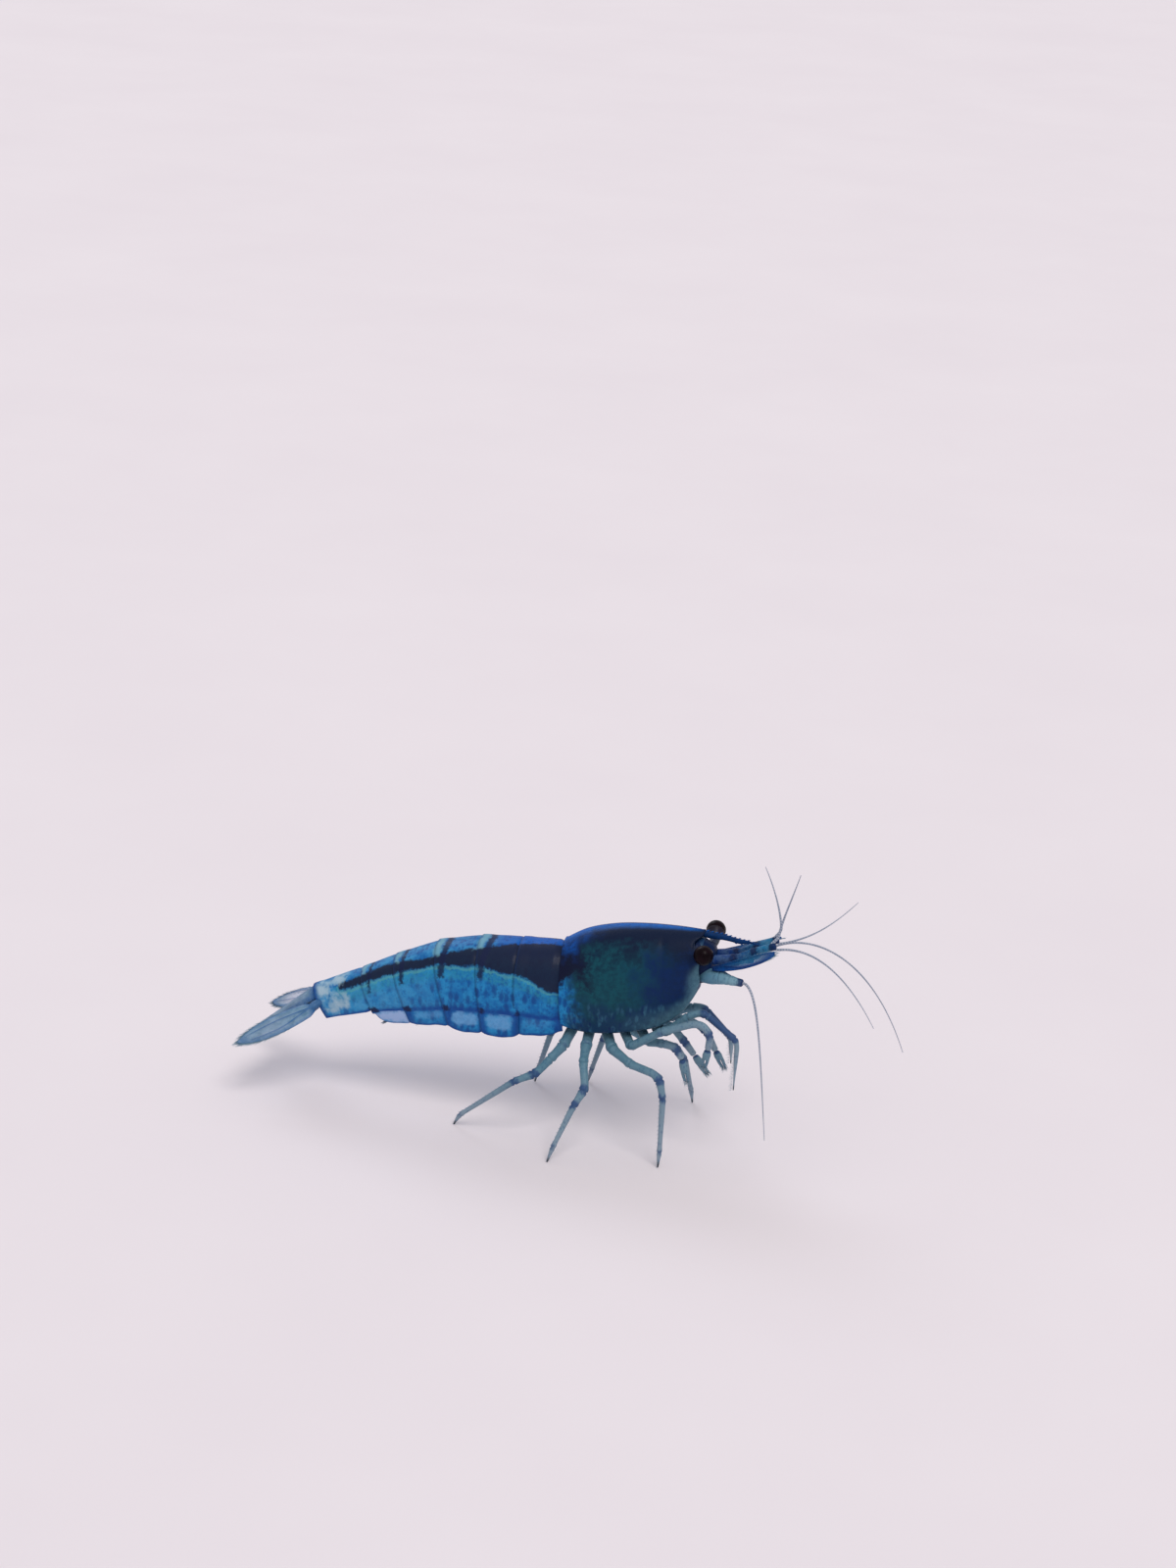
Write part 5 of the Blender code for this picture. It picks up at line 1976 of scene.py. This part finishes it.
@dataclass
class Blade:
    """A thin arched leaf with raised ribs and a fringe."""

    root: Vector
    along: Vector
    across: Vector
    length: float
    inner: float
    outer: float
    root_half: float = 0.2
    thickness: float = 0.11
    arch: float = 0.05
    # Where it is widest, and how pointed its tip is.
    widest: float = 0.45
    tip: float = 0.5
    # Places of the ribs, from -1 inside to 1 outside.
    ribs: tuple[float, ...] = (0.0,)
    rib_width: float = 0.07
    rib_height: float = 0.05
    # Centre and strength of a pale patch, and how blue the edges are.
    pale: tuple[float, float] = (0.5, 0.0)
    edge: float = 0.0
    rows: int = 40
    columns: int = 30

    def half_width(self, share: float, most: float) -> float:
        """The width of one side at a share of the length.

        Args:
            share: Share of the length.
            most: The side's greatest width.

        Returns:
            The width.
        """
        widened = mix(self.root_half, most, sin(min(share / self.widest, 1.0) * pi / 2))
        widened *= mix(0.55, 1.0, ease(-0.02, 0.08, share))
        closing = max(0.0, (share - self.widest) / (1 - self.widest))
        return widened * max(0.0, 1.0 - closing ** 2.2) ** self.tip

    def rib(self, turn: float, share: float) -> float:
        """How much of a rib there is; ribs run together at the root.

        Args:
            turn: Place across.
            share: Share of the length.

        Returns:
            From 0 to 1.
        """
        spread = ease(-0.1, 0.5, share)
        width = self.rib_width / mix(0.5, 1.0, spread)
        return max(bump(turn - place * spread, width) for place in self.ribs) * ease(1.0, 0.75, share)

    def point(self, share: float, turn: float, height: float = 0.0) -> Vector:
        """A point of the blade.

        Args:
            share: Share of the length.
            turn: -1 at the inner edge, 1 at the outer.
            height: Height over the middle.

        Returns:
            The point.
        """
        normal = self.along.cross(self.across).normalized()
        normal = normal if normal.z > 0 else -normal
        offset = self.across * self.half_width(share, self.outer if turn > 0 else self.inner) * turn
        rise = self.arch * (1 - turn * turn) + height
        return self.root + self.along * self.length * share + offset + normal * rise

    def place(self, share: float, turn: float, outer: bool) -> Vector:
        """A point of either face.

        Args:
            share: Share of the length.
            turn: Place across.
            outer: Whether it is the upper face.

        Returns:
            The point.
        """
        thick = self.thickness / 2 * (0.3 + 0.7 * ease(1.0, 0.75, abs(turn))) * mix(1.0, 0.55, share)
        rise = self.rib(turn, share) * self.rib_height
        return self.point(share, turn, thick + rise if outer else -thick - 0.5 * rise)

    def add_to(self, sculpt: Sculpt) -> None:
        """Adds the blade to a mesh.

        Args:
            sculpt: The mesh.
        """
        turns = even(-1, 1, self.columns)
        centre, amount = self.pale

        def values(share: float) -> dict:
            """The named values of a row.

            Args:
                share: Share of the length.

            Returns:
                The values by name.
            """
            rim, patch = ease(0.8, 0.97, share), amount * bump(share - centre, 0.24)
            return {
                "along": share, "rib": [self.rib(t, share) for t in turns],
                "pale": [patch * ease(0.95, 0.45, abs(t)) for t in turns],
                "edge": [self.edge * max(rim, ease(0.62, 0.92, abs(t))) for t in turns],
            }

        shares = [0.995 * share ** 0.85 for share in even(0, 1, self.rows)]
        sculpt.plate(shares, turns, self.place, values)

    def fringe(
        self, hairs: Bristles, gap: float, size: float, start: float, edges: tuple[int, ...] = (-1, 1)
    ) -> None:
        """Plants hairs round the blade's edge.

        Args:
            hairs: Takes them.
            gap: Distance between them.
            size: Length at the tip.
            start: Share where they begin.
            edges: -1 inner, 1 outer.
        """
        for sign in edges:
            most = self.outer if sign > 0 else self.inner
            share = start
            while share < 0.995:
                root = self.point(share, sign * 0.97)
                run = (self.point(min(share + 0.01, 0.999), sign * 0.97) - root).normalized()
                closing = 1 - self.half_width(share, most) / most
                out = self.across * sign * mix(0.55, 0.15, closing)
                way = (run * mix(0.9, 0.5, closing) + out + self.along * 0.5).normalized()
                length = size * mix(0.55, 1.0, ease(start, 0.9, share))
                hairs.add(root, way * length, share, 0.5 + 0.45 * sign)
                step = (self.point(min(share + 0.002, 1.0), sign) - self.point(share, sign)).length / 0.002
                share += gap / max(step, 0.5)


@dataclass(frozen=True)
class UropodBlade:
    """One kind of side-fin blade: its root, size and marks."""

    node: str
    back: float
    aside: float
    below: float
    length: float
    inner: float
    outer: float
    ribs: tuple[float, ...]


# The abdomen's end, and the ways back and up from it.
FAN_END, FAN_BACK, FAN_UP = TAIL.joints()[0][-1], pitch_back(TAIL.fan_pitch), pitch_up(TAIL.fan_pitch)
ENDOPOD = UropodBlade("uropod_endopod", 0.04, 0.5, 0.14, 3.6, 0.66, 0.44, (0.0,))
EXOPOD = UropodBlade("uropod_exopod", 0.12, 0.96, 0.02, 3.9, 0.56, 0.56, (-0.25, 0.62))


@dataclass
class TailFan(Part):
    """The telson and the two pairs of uropods."""

    telson_length: float = 3.36
    hair_length: float = 0.38
    hair_gap: float = 0.045
    # Kind, side; spread, lift and turn outer edge down, in degrees; how pale, how blue at the edge.
    poses: tuple[tuple, ...] = (
        (ENDOPOD, Side.LEFT, (8.0, 0.0, -12.0), 0.2, 0.4),
        (EXOPOD, Side.LEFT, (26.0, 9.0, -20.0), 1.0, 0.9),
        (ENDOPOD, Side.RIGHT, (7.0, 9.5, 16.0), 0.45, 0.5),
        (EXOPOD, Side.RIGHT, (25.5, 11.5, 36.0), 0.25, 0.7),
    )
    # The short stem that carries a side's blades from inside the last ring.
    stem_shape: Knots = ((0.0, 0.9), (0.4, 1.0), (0.75, 0.85), (0.93, 0.5), (1.0, 0.12))
    telson_halves: Knots = ((0.0, 0.58), (0.85, 0.28), (0.97, 0.17), (1.0, 0.06))
    telson_rises: tuple[float, float] = (0.44, 0.24)

    def build(self) -> None:
        """Makes the fan."""
        fringe = Bristles("tail_fringe", thickness=0.018, bend=0.08, seed=21)
        self.telson(fringe)
        for kind, side, pose, pale, edge in self.poses:
            spread, _, drop = (radians(angle) for angle in pose)
            back, width = pitch_back(TAIL.fan_pitch - pose[1]), side.out(1)
            heading = back * cos(spread) + width * sin(spread)
            across = width * cos(spread) - back * sin(spread)
            blade = Blade(
                root=FAN_END + width * kind.aside + (FAN_BACK * kind.back - FAN_UP * kind.below),
                along=heading, across=Matrix.Rotation(drop * side.value, 3, heading) @ across,
                length=kind.length, inner=kind.inner, outer=kind.outer, root_half=0.36, tip=0.75,
                ribs=kind.ribs, pale=(0.55, pale), edge=edge,
            )
            sculpt = Sculpt()
            blade.add_to(sculpt)
            if kind is EXOPOD:
                start, stop = FAN_END - FAN_BACK * 0.25 + side.out(0.38), blade.root + blade.along * 0.34
                line = [start.lerp(stop, share) for share in even(0, 1, 10)]
                sizes = [between(self.stem_shape, share) for share in even(0, 1, 10)]
                radii = [(0.3 * size, 0.2 * size) for size in sizes]
                sculpt.tube(line, radii, 16, {"along": 0.05, "rib": 0.7, "pale": 0.0, "edge": 0.3})
            name = f"{kind.node}_{side.label}"
            sculpt.dress(f"{name}_blade", self.palette.fin, Slot.FIN, name)
            blade.fringe(fringe, self.hair_gap, self.hair_length, 0.35)
        fringe.grow(self.palette.hair, Slot.FIN)

    def telson(self, fringe: Bristles) -> None:
        """Makes the arched middle blade, with small spines and hairs.

        Args:
            fringe: Takes them.
        """
        start = FAN_END + FAN_UP * 0.26 - FAN_BACK * 0.1
        turns = even(-1, 1, 28)

        def place(share: float, turn: float, outer: bool) -> Vector:
            """A point of the arch.

            Args:
                share: Share of the length.
                turn: Place across.
                outer: Whether it is the upper face.

            Returns:
                The point.
            """
            angle = turn * pi / 2
            thin = 0.13 * mix(1.0, 0.6, share) * mix(0.4, 1.0, ease(1.0, 0.8, abs(turn)))
            side = Vector((0, between(self.telson_halves, share) * sin(angle), 0))
            rise = mix(*self.telson_rises, share) * cos(angle) - (0.0 if outer else thin)
            return start + FAN_BACK * self.telson_length * share + side + FAN_UP * rise

        def values(share: float) -> dict:
            """The named values of a row.

            Args:
                share: Share of the length.

            Returns:
                The values by name.
            """
            edge = [ease(0.45, 0.85, abs(t)) for t in turns]
            ridge = [0.5 * bump(t, 0.14) for t in turns]
            return {"along": share, "rib": ridge, "pale": 0.25 * bump(share - 0.4, 0.3), "edge": edge}

        telson = Sculpt()
        telson.plate(even(0, 1, 40), turns, place, values)
        telson.dress("telson_plate", self.palette.fin, Slot.FIN, "telson")
        for share, turn in product((0.42, 0.58, 0.72, 0.84), (-0.45, 0.45)):
            way = (FAN_BACK + FAN_UP * 0.45).normalized() * 0.2
            fringe.add(place(share, turn, True), way, share, 0.5 + 0.4 * turn)
        for turn in even(-0.89, 0.89, 8):
            way = (FAN_BACK + Vector((0, turn * 0.35, 0))).normalized() * self.hair_length * 0.75
            fringe.add(place(0.97, turn, False), way, 0.97, 0.5 + 0.4 * turn)


@dataclass
class ScalePair(Part):
    """The broad blades beside the first antennae."""

    # On the left side, and how its outer edge slopes.
    root: Triple = (8.36, 0.97, 9.06)
    tip: Triple = (11.14, 0.9, 10.235)
    tilt: float = radians(20.0)

    def build(self) -> None:
        """Makes both scales."""
        fringe = Bristles("scale_fringe", seed=31)
        for side in Side:
            root, tip = sided((self.root, self.tip), side)
            along = (tip - root).normalized()
            width = Vector((0, side.value * cos(self.tilt), -sin(self.tilt)))
            blade = Blade(
                root=root, along=along, across=(width - along * width.dot(along)).normalized(),
                length=(tip - root).length, inner=0.24, outer=0.5, root_half=0.1, thickness=0.15, arch=0.06,
                ribs=(0.05, 0.92), rib_width=0.08, pale=(0.62, 0.9), edge=0.5, widest=0.55,
            )
            sculpt = Sculpt()
            blade.add_to(sculpt)
            name = f"antennal_scale_{side.label}"
            sculpt.dress(f"{name}_blade", self.palette.scale, Slot.FIN, name)
            blade.fringe(fringe, 0.04, 0.26, 0.35, (-1,))
            blade.fringe(fringe, 0.04, 0.26, 0.8, (1,))
        fringe.grow(self.palette.hair, Slot.FIN)


@dataclass
class Swimmerets(Part):
    """Ten swimmerets: a stem and two fringed paddles each."""

    hair_length: float = 0.26
    stem_length: float = 0.72
    stem_shape: Knots = ((0.0, 1.0), (0.7, 0.95), (0.93, 0.85), (1.0, 0.45))

    def build(self) -> None:
        """Makes the swimmerets."""
        fringe = Bristles("swimmeret_fringe", spread=0.12, seed=41)
        for number, side in product(LINKED_RINGS, Side):
            sections = [TAIL.place(number, share) for share in (0.05, 0.5)]
            front, back = (centre - up * belly for centre, up, _, _, belly in sections)
            along = (back - front).normalized()
            down = along.cross(Vector((0, 1, 0)))
            size = 1.08 - 0.13 * abs(number - 2.5)
            root = front.lerp(back, 0.55) + side.out(0.565 - 0.045 * number) - down * 0.1
            knee = root + down * self.stem_length * size + along * 0.18
            limb = Sculpt()
            line = [root.lerp(knee, share) for share in even(0, 1, 10)]
            wides = [between(self.stem_shape, share) for share in even(0, 1, 10)]
            radii = [(0.17 * wide, 0.23 * size * wide) for wide in wides]
            limb.tube(line, radii, 14, {"along": 0.2, "rib": 0.25, "pale": 0.0, "edge": 0.0})
            for sign, reach in ((-1, 1.22), (1, 1.36)):
                out = Vector((0, sign * 0.06, 0))
                heading = (along * 0.93 + down * 0.4 + out).normalized()
                blade = Blade(
                    root=knee + out - heading * 0.1, along=heading, length=reach * size, inner=0.1,
                    across=(Vector((0, sign, 0)) - heading * heading.y * sign).normalized(), outer=0.19,
                    root_half=0.09, thickness=0.07, arch=0.0, ribs=(0.1,), rib_width=0.18, rib_height=0.02,
                    pale=(0.6, 0.8), rows=18, columns=12,
                )
                blade.add_to(limb)
                blade.fringe(fringe, 0.05, self.hair_length, 0.3)
            name = f"pleopod_{number}_{side.label}"
            limb.dress(f"{name}_paddles", self.palette.fin, Slot.FIN, name)
        fringe.grow(self.palette.hair, Slot.FIN)


# ---- studio


@dataclass
class Studio:
    """Floor, soft lights, pale world and camera."""

    # The point looked at, and the camera round it.
    target: Triple = (0.0, 0.0, 5.45)
    azimuth: float = 12.0
    elevation: float = 24.0
    roll: float = 3.0
    distance: float = 160.0
    lens: float = 79.12
    # The lens's aim from the target, in degrees.
    aim_right: float = 0.896
    aim_up: float = 3.742
    floor_half: float = 2500.0
    suns: tuple[tuple[str, Triple, float, str], ...] = (
        ("key", (40.0, -60.0, 120.0), 1.25, "#fff8f2"), ("rim", (-70.0, 90.0, 90.0), 0.55, "#eef4ff"),
    )

    def build(self) -> None:
        """Makes the studio: floor, a pale even world, two wide soft suns and the camera."""
        self.floor()
        world = bpy.data.worlds.new("studio")
        world.use_nodes = True
        back = world.node_tree.nodes["Background"].inputs
        back["Color"].default_value, back["Strength"].default_value = linear("#f3f1f6"), 0.62
        bpy.context.scene.world = world
        for name, place, strength, colour in self.suns:
            lamp = bpy.data.lights.new(name, "SUN")
            lamp.angle, lamp.energy, lamp.color = radians(28), strength, linear(colour)[:3]
            holder = placed(name, lamp)
            holder.location = Vector(place) * MM
            holder.rotation_euler = (-Vector(place)).to_track_quat("-Z", "Y").to_euler()
        self.camera()

    def floor(self) -> None:
        """A wide pale plane, not part of the object."""
        finish = bpy.data.materials.new("studio floor")
        finish.use_nodes = True
        tree, shader = Tree(finish.node_tree), finish.node_tree.nodes["Principled BSDF"]
        shader.inputs["Roughness"].default_value = 0.9
        place = tree.add("ShaderNodeTexCoord").outputs["Object"]
        clouds = tree.noise(place, 20 * MM)
        tree.feed(shader.inputs["Base Color"], tree.paint(linear("#e6dfe4"), linear("#ece6ea"), clouds))
        half = self.floor_half * MM
        mesh = bpy.data.meshes.new("studio_floor")
        corners = [(-half, -half, 0), (half, -half, 0), (half, half, 0), (-half, half, 0)]
        mesh.from_pydata(corners, [], [(0, 1, 2, 3)])
        mesh.materials.append(finish)
        placed("studio_floor", mesh)

    def camera(self) -> None:
        """The camera: above the floor, a little to the head's side, a little tilted."""
        a, e, roll = (radians(angle) for angle in (self.azimuth, self.elevation, self.roll))
        back = Vector((sin(a) * cos(e), -cos(a) * cos(e), sin(e)))
        level = Vector((cos(a), sin(a), 0.0))
        upright = back.cross(level)
        right = level * cos(roll) + upright * sin(roll)
        up = upright * cos(roll) - level * sin(roll)
        aim = Vector((-tan(radians(self.aim_right)), -tan(radians(self.aim_up)), -1.0))
        swing = Vector((0, 0, -1)).rotation_difference(aim)
        lens = bpy.data.cameras.new("camera")
        lens.sensor_width, lens.lens, lens.clip_start, lens.clip_end = 36.0, self.lens, 0.01, 20.0
        camera = placed("camera", lens)
        camera.rotation_mode = "QUATERNION"
        camera.rotation_quaternion = Matrix((right, up, back)).transposed().to_quaternion() @ swing.inverted()
        camera.location = in_frame(Vector(self.target)) + back * self.distance * MM
        bpy.context.scene.camera = camera


def main() -> None:
    """Builds the shrimp, then the studio."""
    bpy.context.scene.view_settings.view_transform = "Standard"
    palette = Palette()
    for part in (
        Underside, Carapace, Rostrum, Face, Abdomen, TailFan, Swimmerets, EyePair, Feelers, ScalePair,
        FrontLimbs, WalkingLegs,
    ):
        log.info("building %s", part.__name__)
        part(palette).build()
    Studio().build()


if __name__ == "__main__":
    main()
